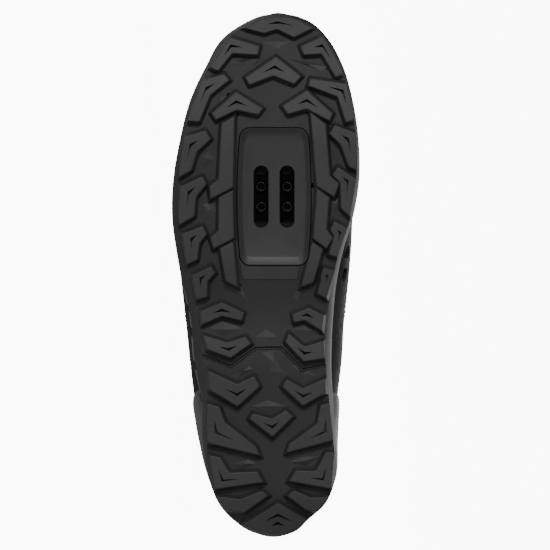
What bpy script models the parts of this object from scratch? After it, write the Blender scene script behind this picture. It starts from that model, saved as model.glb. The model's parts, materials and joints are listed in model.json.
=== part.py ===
# Mountain bike shoe for the right foot, with a lugged rubber sole and a two-bolt cleat window.
# The pieces are modelled standing: x runs from the heel to the toe, y to the medial side, z up from
# the ground. At the end the whole shoe is laid on its lateral side, as it rests on a floor.

import math
from collections import namedtuple

import bmesh
import bpy
import numpy as np
from mathutils import Matrix, Vector

# Overall sizes, in metres.
shoe_length = 0.282
ball_width = 0.102
gap = 0.0003

# Sole.
lug_depth = 0.0050
lug_draft = 0.0007
lug_root = 0.0015
tread_slab = 0.0030
rim_wall = 0.0022
toe_spring = 0.019
heel_bevel = 0.007
arch_rise = 0.003
heel_stack = 0.030
ball_stack = 0.0185
toe_stack = 0.0165
feather_inset = 0.0015

# Cleat window, the nylon plate in it and the steel nut behind it.
window_centre = (0.1833, -0.0005)
window_length = 0.0750
window_width = 0.0404
window_corner = 0.0055
window_gap = 0.0005
plate_sunk = 0.0002
plate_thickness = 0.0040
plate_rim = 0.0017
plate_slope = 0.0009
plate_recess = 0.0015
bolt_spacing = 0.0140
bolt_rows = 0.0109
slot_length = 0.0332
slot_width = 0.0073
nut_length = 0.0240
nut_width = 0.0260
nut_thickness = 0.0020
nut_corner = 0.0030
boss_outer = 0.0059
boss_bore = 0.0043
boss_short = 0.0006
nut_travel = 0.0070

# Upper.
upper_wall = 0.0022
lasting_margin = 0.0090
band_width = 0.0130
band_step = 0.0010
collar_padding = 0.0035
padding_depth = 0.034
overlay_thickness = 0.0012
insole_thickness = 0.0036
insole_clearance = 0.0006
tongue_thickness = 0.0040
tongue_clearance = 0.0004
tongue_crown = 0.0020
tongue_rise = 0.017
tongue_top_width = 0.040
eyelet_rows = 6
eyelet_bore = 0.0044
eyelet_inset = 0.0068
lace_width = 0.0050
lace_stub_width = 0.0028
lace_thickness = 0.0014
lace_clearance = 0.0005

# Height and setback of the collar and throat, from the ground and the heel.
collar_height = 0.093
throat_front = 0.191
throat_height = 0.0685
collar_half_width = 0.030
lateral_drop = 0.004

# Stations where the tread's curves begin and end.
toe_spring_start = 0.74
heel_bevel_end = 0.09
arch_start, arch_end = 0.32, 0.54
spring_power = 1.8

# Shares of the half outline, from the heel: the heel counter's end, the padded collar's start and how
# far it takes to swell, the first and last eyelet. The toe cap's share is from the toe.
counter_reach = 0.36
cap_reach = 0.24
collar_end = 0.42
collar_blend = 0.10
eyelet_first, eyelet_last = 0.455, 0.690

# Shares that shape the upper's curves and the tongue.
low_flare = (0.75, 0.75, 0.18)
low_upright = 0.45
top_handle = 0.42
tongue_free_width = 0.8
tongue_free_rise = 0.45
tongue_across = (1, 0.93, 0.8, 0, -0.8, -0.93, -1)
tongue_profile = (0.4, 0.7, 1, 1, 1, 0.7, 0.4)
tuck_first, tuck_step = 0.05, 0.4

# Outline seen from below. Stations are shares of the length, widths shares of the ball width.
Section = namedtuple("Section", "station sole_lateral sole_medial tread_lateral tread_medial "
                     "upper_lateral upper_medial")
sections = [
    Section(0.012, -0.148, 0.122, -0.132, 0.106, -0.136, 0.110),
    Section(0.032, -0.228, 0.180, -0.201, 0.159, -0.213, 0.166),
    Section(0.060, -0.296, 0.265, -0.265, 0.243, -0.283, 0.250),
    Section(0.108, -0.349, 0.320, -0.323, 0.302, -0.340, 0.309),
    Section(0.185, -0.386, 0.320, -0.360, 0.307, -0.394, 0.322),
    Section(0.261, -0.394, 0.307, -0.360, 0.286, -0.429, 0.333),
    Section(0.338, -0.434, 0.299, -0.378, 0.267, -0.455, 0.357),
    Section(0.414, -0.452, 0.307, -0.400, 0.275, -0.476, 0.369),
    Section(0.490, -0.495, 0.328, -0.444, 0.307, -0.500, 0.392),
    Section(0.548, -0.524, 0.362, -0.487, 0.341, -0.516, 0.405),
    Section(0.605, -0.545, 0.410, -0.511, 0.397, -0.527, 0.413),
    Section(0.682, -0.540, 0.447, -0.511, 0.429, -0.524, 0.434),
    Section(0.758, -0.505, 0.444, -0.484, 0.431, -0.489, 0.430),
    Section(0.835, -0.450, 0.413, -0.429, 0.397, -0.434, 0.399),
    Section(0.902, -0.365, 0.360, -0.344, 0.344, -0.350, 0.346),
    Section(0.949, -0.291, 0.291, -0.265, 0.275, -0.276, 0.277),
    Section(0.978, -0.185, 0.217, -0.159, 0.196, -0.171, 0.203),
    Section(0.995, -0.079, 0.116, -0.064, 0.101, -0.066, 0.103),
]
# Where each outline closes at the heel and at the toe: station and width share.
Tips = namedtuple("Tips", "heel_station heel_offset toe_station toe_offset")
sole_tips = Tips(0.0, 0.0, 1.0, 0.016)
tread_tips = Tips(0.003, 0.0, 0.996, 0.016)
upper_tips = Tips(0.005, 0.0, 0.995, 0.016)

# Top line from the heel round the collar and down the throat. The share is how far round the half
# outline a section of the upper starts; slope is its lean at the edge in degrees from level.
TopPoint = namedtuple("TopPoint", "share length width height slope")
top_line = [
    TopPoint(0.000, 0.047, 0.00, 1.000, 82),
    TopPoint(0.070, 0.073, 0.57, 0.980, 82),
    TopPoint(0.160, 0.157, 0.90, 0.870, 80),
    TopPoint(0.240, 0.272, 1.00, 0.735, 78),
    TopPoint(0.310, 0.387, 1.00, 0.750, 72),
    TopPoint(0.375, 0.492, 0.90, 0.915, 55),
    TopPoint(0.430, 0.565, 0.74, 1.060, 38),
    TopPoint(0.490, 0.670, 0.58, 0.900, 30),
    TopPoint(0.560, 0.785, 0.52, 0.620, 26),
    TopPoint(0.640, 0.900, 0.47, 0.250, 23),
    TopPoint(0.760, 0.974, 0.34, 0.060, 20),
    TopPoint(1.000, 1.000, 0.00, 0.000, 17),
]

# How the sole and upper change along the length: station, share of the side wall that is rubber,
# how far above the feather edge the upper is widest, as a share of the heel stack, and how long it
# goes on straight up from there, as a share of the way to the top line.
Profile = namedtuple("Profile", "station rubber widest upright")
profiles = [
    Profile(0.00, 0.52, 0.42, 0.36),
    Profile(0.16, 0.46, 0.42, 0.36),
    Profile(0.30, 0.36, 0.44, 0.36),
    Profile(0.45, 0.36, 0.47, 0.36),
    Profile(0.60, 0.68, 0.44, 0.34),
    Profile(0.78, 0.84, 0.40, 0.28),
    Profile(0.92, 0.88, 0.32, 0.17),
    Profile(1.00, 0.90, 0.30, 0.13),
]

# Chevron lugs. Each row gives the corners as shares of the length and the ball width: along the
# outer edge of the V from one tip over its apex to the other, then back along the inner edge.
Lug = namedtuple("Lug", "tip_a apex tip_b back_b crook back_a")
chevrons = [
    Lug((0.898, -0.339), (0.955, -0.238), (0.938, -0.085), (0.923, -0.095), (0.926, -0.228), (0.892, -0.302)),
    Lug((0.889, 0.365), (0.957, 0.254), (0.938, 0.138), (0.923, 0.153), (0.925, 0.249), (0.880, 0.323)),
    Lug((0.878, -0.153), (0.917, 0.005), (0.880, 0.135), (0.867, 0.101), (0.883, -0.008), (0.865, -0.135)),
    Lug((0.796, -0.466), (0.871, -0.386), (0.884, -0.270), (0.873, -0.246), (0.845, -0.344), (0.794, -0.402)),
    Lug((0.799, 0.421), (0.865, 0.386), (0.875, 0.190), (0.863, 0.180), (0.842, 0.333), (0.793, 0.376)),
    Lug((0.809, -0.331), (0.849, -0.206), (0.818, -0.069), (0.808, -0.090), (0.817, -0.204), (0.798, -0.312)),
    Lug((0.808, 0.302), (0.852, 0.169), (0.823, 0.042), (0.809, 0.069), (0.819, 0.169), (0.796, 0.286)),
    Lug((0.687, -0.511), (0.762, -0.484), (0.775, -0.370), (0.760, -0.344), (0.736, -0.415), (0.701, -0.444)),
    Lug((0.595, -0.513), (0.668, -0.497), (0.687, -0.386), (0.674, -0.365), (0.649, -0.421), (0.613, -0.429)),
    Lug((0.521, -0.466), (0.578, -0.487), (0.592, -0.384), (0.578, -0.365), (0.561, -0.402), (0.530, -0.413)),
    Lug((0.454, -0.413), (0.499, -0.434), (0.515, -0.339), (0.504, -0.320), (0.488, -0.360), (0.459, -0.362)),
    Lug((0.702, 0.431), (0.770, 0.429), (0.785, 0.317), (0.770, 0.291), (0.750, 0.349), (0.708, 0.392)),
    Lug((0.614, 0.394), (0.682, 0.426), (0.705, 0.333), (0.691, 0.307), (0.677, 0.347), (0.628, 0.352)),
    Lug((0.535, 0.333), (0.588, 0.381), (0.601, 0.315), (0.586, 0.296), (0.574, 0.315), (0.540, 0.288)),
    Lug((0.457, 0.270), (0.507, 0.312), (0.513, 0.259), (0.497, 0.243), (0.490, 0.246), (0.465, 0.225)),
    Lug((0.430, -0.392), (0.446, -0.280), (0.427, -0.169), (0.414, -0.177), (0.423, -0.280), (0.407, -0.384)),
    Lug((0.422, 0.254), (0.436, 0.180), (0.424, 0.095), (0.411, 0.103), (0.415, 0.159), (0.395, 0.246)),
    Lug((0.359, -0.357), (0.343, -0.235), (0.369, -0.132), (0.381, -0.156), (0.370, -0.254), (0.383, -0.373)),
    Lug((0.342, 0.259), (0.336, 0.153), (0.372, 0.058), (0.386, 0.074), (0.362, 0.156), (0.373, 0.254)),
    Lug((0.282, -0.344), (0.250, -0.198), (0.287, -0.085), (0.305, -0.111), (0.290, -0.201), (0.315, -0.349)),
    Lug((0.275, 0.265), (0.252, 0.148), (0.287, 0.042), (0.299, 0.063), (0.282, 0.148), (0.301, 0.265)),
    Lug((0.226, -0.132), (0.192, -0.013), (0.229, 0.090), (0.240, 0.058), (0.224, -0.016), (0.234, -0.116)),
    Lug((0.253, -0.357), (0.181, -0.365), (0.157, -0.087), (0.171, -0.103), (0.217, -0.265), (0.247, -0.296)),
    Lug((0.255, 0.294), (0.186, 0.312), (0.162, 0.066), (0.176, 0.077), (0.215, 0.225), (0.250, 0.243)),
    Lug((0.154, -0.344), (0.092, -0.317), (0.105, -0.066), (0.123, -0.095), (0.121, -0.243), (0.150, -0.291)),
    Lug((0.160, 0.310), (0.093, 0.296), (0.107, 0.079), (0.125, 0.111), (0.124, 0.217), (0.160, 0.270)),
    Lug((0.076, -0.307), (0.070, -0.185), (0.086, -0.069), (0.078, -0.042), (0.047, -0.164), (0.053, -0.259)),
    Lug((0.075, 0.280), (0.073, 0.190), (0.087, 0.101), (0.078, 0.069), (0.051, 0.169), (0.049, 0.228)),
]
# Blocks and rails that are no chevron, corner by corner in the same shares.
Block = namedtuple("Block", "name corners")
blocks = [
    Block("toe_tip", [(0.974, -0.150), (0.965, -0.058), (0.973, 0.011), (0.957, 0.101), (0.974, 0.193),
                      (0.988, 0.128), (0.994, 0.069), (0.994, -0.016), (0.988, -0.085)]),
    Block("heel_tip", [(0.022, -0.165), (0.063, 0.016), (0.029, 0.170), (0.016, 0.127), (0.007, 0.058),
                       (0.005, -0.016), (0.009, -0.090)]),
    Block("rail_front_lateral", [(0.789, -0.280), (0.802, -0.217), (0.668, -0.225), (0.647, -0.339),
                                 (0.670, -0.344), (0.682, -0.296)]),
    Block("rail_middle_lateral", [(0.647, -0.294), (0.660, -0.225), (0.571, -0.220), (0.552, -0.323),
                                  (0.571, -0.339), (0.584, -0.296)]),
    Block("rail_back_lateral", [(0.550, -0.288), (0.562, -0.224), (0.479, -0.201), (0.489, -0.258)]),
    Block("rail_front_medial", [(0.809, 0.190), (0.787, 0.265), (0.689, 0.288), (0.674, 0.336),
                                (0.651, 0.312), (0.671, 0.222)]),
    Block("rail_middle_medial", [(0.663, 0.224), (0.647, 0.283), (0.586, 0.270), (0.571, 0.302),
                                 (0.552, 0.272), (0.570, 0.205)]),
    Block("rail_back_medial", [(0.561, 0.198), (0.548, 0.249), (0.487, 0.201), (0.479, 0.143)]),
]

# Small cuts in the side of the sole, as stations: the notches between the lateral edge lugs and the
# dents in the midsole's lateral wall. The vents are in the medial side of the upper.
notch_stations = [0.785, 0.685, 0.590, 0.517, 0.448]
notch_depth = 0.0012
notch_length = 0.0042
dent_stations = [0.437, 0.389, 0.330, 0.263]
dent_depth = 0.0012
dent_share = 0.72
dent_size = (0.0045, 0.0030)
vent_stations = [0.541, 0.497]
vent_row = 0.62
vent_length = 0.0070
vent_height = 0.0026

around = 64
half = around // 2

# Finish of each piece: sRGB colour as hex, roughness, metallic and density in kg per cubic metre.
Finish = namedtuple("Finish", "colour roughness metallic density")
finishes = {
    "rubber": Finish("343434", 0.62, 0.0, 1150),
    "foam": Finish("4a4a4c", 0.70, 0.0, 300),
    "nylon": Finish("303031", 0.45, 0.0, 1250),
    "steel": Finish("8e8f92", 0.35, 1.0, 7850),
    "synthetic": Finish("26272a", 0.60, 0.0, 900),
    "moulded": Finish("2e2e31", 0.45, 0.0, 1100),
    "padding": Finish("1e1f21", 0.85, 0.0, 260),
    "footbed": Finish("222325", 0.90, 0.0, 180),
    "lace": Finish("1b1b1c", 0.85, 0.0, 900),
}


def linear(channel):
    return channel / 12.92 if channel <= 0.04045 else ((channel + 0.055) / 1.055) ** 2.4


def material(name):
    found = bpy.data.materials.get(name)
    if found:
        return found
    finish = finishes[name]
    made = bpy.data.materials.new(name)
    made.use_nodes = True
    shader = made.node_tree.nodes["Principled BSDF"]
    channels = [linear(int(finish.colour[k:k + 2], 16) / 255) for k in (0, 2, 4)]
    shader.inputs["Base Color"].default_value = (*channels, 1.0)
    shader.inputs["Roughness"].default_value = finish.roughness
    shader.inputs["Metallic"].default_value = finish.metallic
    return made


for old in list(bpy.data.objects):
    bpy.data.objects.remove(old, do_unlink=True)

shoe = bpy.data.objects.new("shoe_frame", None)
bpy.context.collection.objects.link(shoe)


# Curves and loops

def spline(points, knots, at, period=None):
    # A smooth curve through the points, read at the parameters in at.
    points = np.asarray(points, float)
    knots = np.asarray(knots, float)
    if period:
        points = np.vstack([points[-1:], points, points[:2]])
        knots = np.concatenate([[knots[-1] - period], knots, [period + knots[0], period + knots[1]]])
    steps = np.diff(knots)
    slopes = np.diff(points, axis=0) / steps[:, None]
    tangents = np.vstack([slopes[:1], slopes])
    before, after = steps[:-1, None], steps[1:, None]
    tangents[1:-1] = (slopes[:-1] * after + slopes[1:] * before) / (before + after)
    at = np.atleast_1d(at)
    index = np.clip(np.searchsorted(knots, at, side="right") - 1, 0, len(steps) - 1)
    step = steps[index][:, None]
    u = ((at - knots[index]) / steps[index])[:, None]
    start, end = points[index], points[index + 1]
    return (start * (1 + 2 * u) * (1 - u) ** 2 + tangents[index] * step * u * (1 - u) ** 2
            + end * u * u * (3 - 2 * u) - tangents[index + 1] * step * u * u * (1 - u))


def outline_points(tips, lateral, medial):
    rows = [(tips.heel_station, tips.heel_offset)]
    rows += [(row.station, getattr(row, medial)) for row in sections]
    rows += [(tips.toe_station, tips.toe_offset)]
    rows += [(row.station, getattr(row, lateral)) for row in reversed(sections)]
    return np.array(rows) * (shoe_length, ball_width)


sole_points = outline_points(sole_tips, "sole_lateral", "sole_medial")
chords = np.linalg.norm(np.roll(sole_points, -1, axis=0) - sole_points, axis=1)
outline_knots = np.concatenate([[0], np.cumsum(chords)[:-1]])
outline_period = chords.sum()
toe_knot = outline_knots[len(sections) + 1]


def outline(points):
    # The outline in equal steps: index 0 at the heel, half at the toe, the medial side first.
    steps = np.arange(half) / half
    at = np.concatenate([steps * toe_knot, toe_knot + steps * (outline_period - toe_knot)])
    return spline(points, outline_knots, at, outline_period)


def inward(loop):
    along = np.roll(loop, -1, axis=0) - np.roll(loop, 1, axis=0)
    along /= np.linalg.norm(along, axis=1)[:, None]
    return np.column_stack([along[:, 1], -along[:, 0]])


def inset(loop, distance):
    return loop + inward(loop) * distance


def by_station(column, x):
    return np.interp(np.asarray(x) / shoe_length, [row.station for row in profiles],
                     [getattr(row, column) for row in profiles])


def smooth(value):
    value = np.clip(value, 0, 1)
    return value * value * (3 - 2 * value)


# Heights of the sole

def ramp(station, start, end):
    # Rises from 0 at the start to 1 at the end, and a little on past it.
    return np.clip((station - start) / (end - start), 0, 1.2) ** spring_power


def spring(x):
    return toe_spring * ramp(np.asarray(x) / shoe_length, toe_spring_start, 1)


def tread_height(x):
    # The ground face of the lugs: flat under the heel and the ball, raised at heel, arch and toe.
    station = np.asarray(x) / shoe_length
    heel = heel_bevel * ramp(station, heel_bevel_end, 0)
    along = (station - arch_start) / (arch_end - arch_start)
    arch = arch_rise * np.sin(math.pi * np.clip(along, 0, 1)) ** 2
    return spring(x) + heel + arch


def base_height(x):
    return tread_height(x) + lug_depth


def seat_height(x):
    # The feather edge, where the upper meets the midsole.
    station = np.asarray(x) / shoe_length
    stack = heel_stack + (ball_stack - heel_stack) * smooth((station - 0.25) / 0.38)
    stack = stack + (toe_stack - ball_stack) * smooth((station - 0.75) / 0.25)
    return spring(x) + stack


def raised(loop, heights):
    return np.column_stack([loop, np.broadcast_to(heights, len(loop))])


def on_seat(loop, lift=0.0):
    return raised(loop, seat_height(loop[:, 0]) + lift)


def on_base(loop, lift=0.0):
    return raised(loop, base_height(loop[:, 0]) + lift)


sole_loop = outline(sole_points)
tread_loop = outline(outline_points(tread_tips, "tread_lateral", "tread_medial"))
widest_loop = outline(outline_points(upper_tips, "upper_lateral", "upper_medial"))
feather_loop = inset(sole_loop, feather_inset)
base_z = base_height(tread_loop[:, 0])
feather_z = seat_height(feather_loop[:, 0])
rubber_share = by_station("rubber", sole_loop[:, 0])
bulge_share = 0.55


def side_plan(share):
    # The sole's side wall in plan, from the tread edge over its widest line to the feather edge.
    share = np.broadcast_to(share, around)[:, None]
    lower = np.clip(share / bulge_share, 0, 1)
    upper = np.clip((share - bulge_share) / (1 - bulge_share), 0, 1)
    below = tread_loop + (sole_loop - tread_loop) * (2 * lower - lower * lower)
    above = sole_loop + (feather_loop - sole_loop) * upper * upper
    return np.where(share <= bulge_share, below, above)


def side_height(share):
    return base_z + (feather_z - base_z) * share


# Meshes

def new_object(name, vertices, faces, finish, parent=None):
    mesh = bpy.data.meshes.new(name)
    bm = bmesh.new()
    placed = [bm.verts.new(point) for point in vertices]
    for face in faces:
        corners = list(dict.fromkeys(face))
        bm.faces.new([placed[k] for k in corners])
    bmesh.ops.remove_doubles(bm, verts=bm.verts, dist=0.00002)
    bmesh.ops.recalc_face_normals(bm, faces=bm.faces)
    bm.to_mesh(mesh)
    bm.free()
    made = bpy.data.objects.new(name, mesh)
    bpy.context.collection.objects.link(made)
    made.parent = parent or shoe
    if finish:
        mesh.materials.append(material(finish))
        mesh.shade_smooth()
        mesh.set_sharp_from_angle(angle=math.radians(32))
    else:
        made.hide_render = True
        made.display_type = "WIRE"
    return made


def ring_faces(rings, count, wrap=False):
    faces = []
    last = rings if wrap else rings - 1
    for r in range(last):
        here, there = r * count, (r + 1) % rings * count
        for i in range(count):
            j = (i + 1) % count
            faces.append((here + i, here + j, there + j, there + i))
    return faces


def tube_faces(sides):
    return ring_faces(2, sides) + [tuple(range(sides)), tuple(range(sides, 2 * sides))]


def rungs(start):
    # Closes a loop round the sole with strips from side to side.
    faces = []
    for i in range(half):
        faces.append((start + i, start + i + 1, start + around - i - 1, start + (around - i) % around))
    return faces


def sole_solid(name, rings, finish):
    faces = ring_faces(len(rings), around) + rungs(0) + rungs((len(rings) - 1) * around)
    return new_object(name, np.vstack(rings), faces, finish)


def prism(name, levels, finish=None, parent=None):
    # A solid between flat loops with as many points each.
    count = len(levels[0])
    faces = ring_faces(len(levels), count)
    faces.append(tuple(range(count)))
    faces.append(tuple((len(levels) - 1) * count + k for k in range(count)))
    return new_object(name, np.vstack(levels), faces, finish, parent)


def combined(name, meshes, finish=None, parent=None):
    # Several closed shapes in one mesh, from (vertices, faces) pairs.
    vertices, faces = [], []
    for points, polygons in meshes:
        faces += [tuple(k + len(vertices) for k in polygon) for polygon in polygons]
        vertices += [tuple(point) for point in points]
    return new_object(name, vertices, faces, finish, parent)


def boolean(target, cutter, operation="DIFFERENCE"):
    modifier = target.modifiers.new(cutter.name, "BOOLEAN")
    modifier.operation = operation
    modifier.solver = "EXACT"
    modifier.use_self = operation == "UNION"
    modifier.object = cutter


def rounded_rectangle(centre, length, width, corner, arc_steps=4):
    points = []
    for quarter, (sign_x, sign_y) in enumerate([(1, 1), (-1, 1), (-1, -1), (1, -1)]):
        for k in range(arc_steps + 1):
            angle = math.pi / 2 * (quarter + k / arc_steps)
            points.append((centre[0] + sign_x * (length / 2 - corner) + corner * math.cos(angle),
                           centre[1] + sign_y * (width / 2 - corner) + corner * math.sin(angle)))
    return np.array(points)


def level(loop, height):
    return raised(np.asarray(loop), height)


# Outsole

def grown(corners, distance):
    # The polygon with every side moved outward by the distance.
    corners = np.asarray(corners, float)
    ahead = np.roll(corners, -1, axis=0) - corners
    x, y = corners.T
    area = np.sum(x * np.roll(y, -1) - np.roll(x, -1) * y)
    ahead /= np.linalg.norm(ahead, axis=1)[:, None]
    normals = np.column_stack([ahead[:, 1], -ahead[:, 0]]) * np.sign(area)
    before = np.roll(normals, 1, axis=0)
    reach = 1 + np.sum(normals * before, axis=1)
    return corners + (normals + before) * (distance / np.maximum(reach, 0.35))[:, None]


def lug_mesh(corners):
    # A drafted block from its ground face up into the slab.
    top = np.array(corners) * (shoe_length, ball_width)
    root = grown(top, lug_draft)
    count = len(top)
    vertices = np.vstack([raised(top, tread_height(top[:, 0])),
                          raised(root, base_height(root[:, 0]) + lug_root)])
    faces = ring_faces(2, count)
    faces.append(tuple(range(count)))
    faces.append(tuple(range(count, 2 * count)))
    return vertices, faces


def side_spot(station, lateral, share):
    # The point of the sole's side wall at a station, and the way out of the wall there.
    plan = side_plan(share)
    indices = range(half, around) if lateral else range(0, half + 1)
    nearest = min(indices, key=lambda k: abs(plan[k, 0] - station * shoe_length))
    follow = nearest + (1 if (plan[nearest, 0] < station * shoe_length) != lateral else -1)
    follow %= around
    blend = (station * shoe_length - plan[nearest, 0]) / (plan[follow, 0] - plan[nearest, 0])
    heights = side_height(share)
    point = plan[nearest] + (plan[follow] - plan[nearest]) * blend
    out = -(inward(plan)[nearest] + (inward(plan)[follow] - inward(plan)[nearest]) * blend)
    height = heights[nearest] + (heights[follow] - heights[nearest]) * blend
    return Vector((*point, height)), Vector((*out, 0)).normalized()


def notch_mesh(station):
    # A V cut in the lateral edge of the rubber, open to the ground.
    point, out = side_spot(station, True, bulge_share)
    along = Vector((0, 0, 1)).cross(out)
    tip = point - out * notch_depth
    mouth = point + out * notch_depth
    corners = [tip, mouth + along * notch_length, mouth - along * notch_length]
    low = tread_height(point.x) - lug_root
    high = base_height(point.x) + lug_root
    vertices = [(c.x, c.y, z) for z in (low, high) for c in corners]
    return vertices, tube_faces(3)


def build_outsole():
    slab_share = tread_slab / (feather_z - base_z)
    rings = [raised(side_plan(0), base_z)]
    for k in (1, 2, 3):
        rings.append(raised(side_plan(rubber_share * k / 3), side_height(rubber_share * k / 3)))
    rings.append(raised(inset(side_plan(rubber_share), rim_wall), side_height(rubber_share)))
    rings.append(on_base(inset(side_plan(slab_share), rim_wall), tread_slab))
    outsole = sole_solid("outsole", rings, "rubber")
    shapes = chevrons + [block.corners for block in blocks]
    lugs = combined("lugs", [lug_mesh(corners) for corners in shapes])
    boolean(outsole, lugs, "UNION")
    opening = rounded_rectangle(window_centre, window_length, window_width, window_corner)
    boolean(outsole, prism("window_cut", [level(opening, -lug_depth), level(opening, ball_stack)]))
    boolean(outsole, combined("notches", [notch_mesh(station) for station in notch_stations]))
    return outsole


# Cleat plate and nut

plate_low = base_height(window_centre[0]) + plate_sunk
plate_high = plate_low + plate_thickness
bolt_lines = (-bolt_spacing / 2, bolt_spacing / 2)


def build_plate():
    def loop(shrink):
        less = 2 * (window_gap + shrink)
        corner = window_corner - window_gap - 0.6 * shrink
        return rounded_rectangle(window_centre, window_length - less, window_width - less, corner)
    levels = [level(loop(plate_rim + plate_slope), plate_low + plate_recess),
              level(loop(plate_rim), plate_low),
              level(loop(0), plate_low),
              level(loop(0), plate_high)]
    plate = prism("cleat_plate", levels, "nylon")
    slots = []
    for offset in bolt_lines:
        shape = rounded_rectangle((window_centre[0], window_centre[1] + offset), slot_length, slot_width,
                                  slot_width / 2)
        ends = [level(shape, plate_low - lug_depth), level(shape, plate_high + lug_depth)]
        slots.append((np.vstack(ends), tube_faces(len(shape))))
    boolean(plate, combined("slots", slots))
    return plate


nut_low = plate_high + gap
nut_high = nut_low + nut_thickness


def tube_mesh(centre, radius, low, high, sides=14):
    angles = [2 * math.pi * k / sides for k in range(sides)]
    circle = np.array(centre) + radius * np.column_stack([np.cos(angles), np.sin(angles)])
    return np.vstack([level(circle, low), level(circle, high)]), tube_faces(sides)


def build_nut():
    # The nut's own frame has its origin at its middle, on the line that it slides along.
    slider = bpy.data.objects.new("nut_slide", None)
    bpy.context.collection.objects.link(slider)
    slider.parent = shoe
    slider.location = (*window_centre, nut_low)
    nut = prism("cleat_nut", [level(rounded_rectangle((0, 0), nut_length, nut_width, nut_corner), z)
                              for z in (0, nut_thickness)], "steel", slider)
    centres = [(sign * bolt_rows / 2, offset) for sign in (-1, 1) for offset in bolt_lines]
    boss_low = plate_recess + boss_short - plate_thickness - gap
    bosses = [tube_mesh(c, boss_outer / 2, boss_low, nut_thickness / 2) for c in centres]
    bores = [tube_mesh(c, boss_bore / 2, boss_low * 2, nut_thickness * 2) for c in centres]
    boolean(nut, combined("bosses", bosses, None, slider), "UNION")
    boolean(nut, combined("bores", bores, None, slider))
    return nut


# Midsole

margin_top = gap + upper_wall


def dent_mesh(station):
    # A slanted shallow pocket in the lateral wall of the midsole.
    point, out = side_spot(station, True, dent_share)
    along = Vector((0, 0, 1)).cross(out)
    lift = Vector((0, 0, dent_size[1] / 2))
    lean = along * dent_size[1] / 4
    run = along * dent_size[0] / 2
    corners = [-run - lift - lean, run - lift - lean, run + lift + lean, -run + lift + lean]
    depths = (-dent_depth, 3 * dent_depth)
    vertices = [point + corner + out * depth for depth in depths for corner in corners]
    return vertices, tube_faces(4)


def build_midsole():
    slab_share = (tread_slab + gap) / (feather_z - base_z)
    step_z = side_height(rubber_share) + gap
    rings = [
        on_base(inset(side_plan(slab_share), rim_wall + gap), tread_slab + gap),
        raised(inset(side_plan(rubber_share), rim_wall + gap), step_z),
        raised(side_plan(rubber_share), step_z),
        raised(side_plan((1 + rubber_share) / 2), (step_z + feather_z) / 2),
        raised(feather_loop, feather_z),
        on_seat(inset(feather_loop, lasting_margin + gap)),
        on_seat(inset(feather_loop, lasting_margin + gap), margin_top),
    ]
    midsole = sole_solid("midsole", rings, "foam")
    recess = rounded_rectangle(window_centre, window_length, window_width, window_corner)
    boolean(midsole, prism("plate_pocket", [level(recess, 0), level(recess, plate_high + gap)]))
    room = rounded_rectangle(window_centre, nut_length + 2 * (nut_travel + 2 * gap),
                             nut_width + 4 * gap, nut_corner)
    boolean(midsole, prism("nut_pocket", [level(room, 0), level(room, nut_high + 3 * gap)]))
    boolean(midsole, combined("dents", [dent_mesh(station) for station in dent_stations]))
    return midsole


# Upper

top_knots = [row.share for row in top_line]


def top_loop():
    # The top line's points round the shoe, and its lean there, for each column of the outline.
    shares = np.concatenate([np.arange(half) / half, 1 - np.arange(half) / half])
    side = np.where(np.arange(around) < half, 1.0, -1.0)
    rows = np.array([(row.length, row.width, row.height, row.slope) for row in top_line])
    both = np.vstack([rows, rows[-2:0:-1] * (1, -1, 1, 1)])
    knots = top_knots + [2 - knot for knot in top_knots[-2:0:-1]]
    at = np.where(side > 0, shares, 2 - shares)
    read = spline(both, knots, at, 2.0)
    x = read[:, 0] * throat_front
    y = read[:, 1] * collar_half_width
    z = throat_height + (collar_height - throat_height) * read[:, 2]
    rear = 1 - smooth((read[:, 0] - 0.4) / 0.2)
    z = z - lateral_drop * rear * smooth(-y / collar_half_width)
    return np.column_stack([x, y, z]), np.radians(read[:, 3])


def bezier(points, at):
    a, b, c, d = points
    at = np.asarray(at)[:, None]
    return a * (1 - at) ** 3 + 3 * b * at * (1 - at) ** 2 + 3 * c * at * at * (1 - at) + d * at ** 3


low_steps = 3
wall_steps = 6
band_steps = 2


def last_surface():
    # Rows of points up the outside of the upper, from the feather edge to the top line.
    bottom = raised(feather_loop, feather_z + gap)
    rise = by_station("widest", sole_loop[:, 0]) * heel_stack
    widest = raised(widest_loop, feather_z + rise)
    top, slope = top_loop()
    out = widest[:, :2] - top[:, :2]
    out /= np.linalg.norm(out, axis=1)[:, None]
    reach = np.linalg.norm(widest - top, axis=1)
    lean = np.column_stack([out * np.cos(slope)[:, None], -np.sin(slope)])
    up = np.array([0, 0, 1.0])
    grid = [bottom]
    for k in range(1, low_steps + 1):
        flare = bottom + (widest - bottom) * low_flare
        under = widest - up * rise[:, None] * low_upright
        grid.append(bezier((bottom, flare, under, widest), np.full(around, k / low_steps)))
    handle = up * (reach * by_station("upright", sole_loop[:, 0]))[:, None]
    edge = 1 - band_width / reach
    stations = [edge * k / wall_steps for k in range(1, wall_steps + 1)]
    stations += [edge + 0.0006 / reach]
    stations += [edge + (1 - edge) * k / band_steps for k in range(1, band_steps + 1)]
    approach = top + lean * (reach * top_handle)[:, None]
    grid += [bezier((widest, widest + handle, approach, top), at) for at in stations]
    return np.array(grid)


def surface_normals(grid):
    along = np.roll(grid, -1, axis=1) - np.roll(grid, 1, axis=1)
    across = np.empty_like(grid)
    across[1:-1] = grid[2:] - grid[:-2]
    across[0] = grid[1] - grid[0]
    across[-1] = grid[-1] - grid[-2]
    normals = np.cross(across, along)
    return normals / np.linalg.norm(normals, axis=2)[:, :, None]


last = last_surface()
last_out = surface_normals(last)
step_row = low_steps + wall_steps + 1
outer = last.copy()
outer[step_row:] += last_out[step_row:] * band_step


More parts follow.
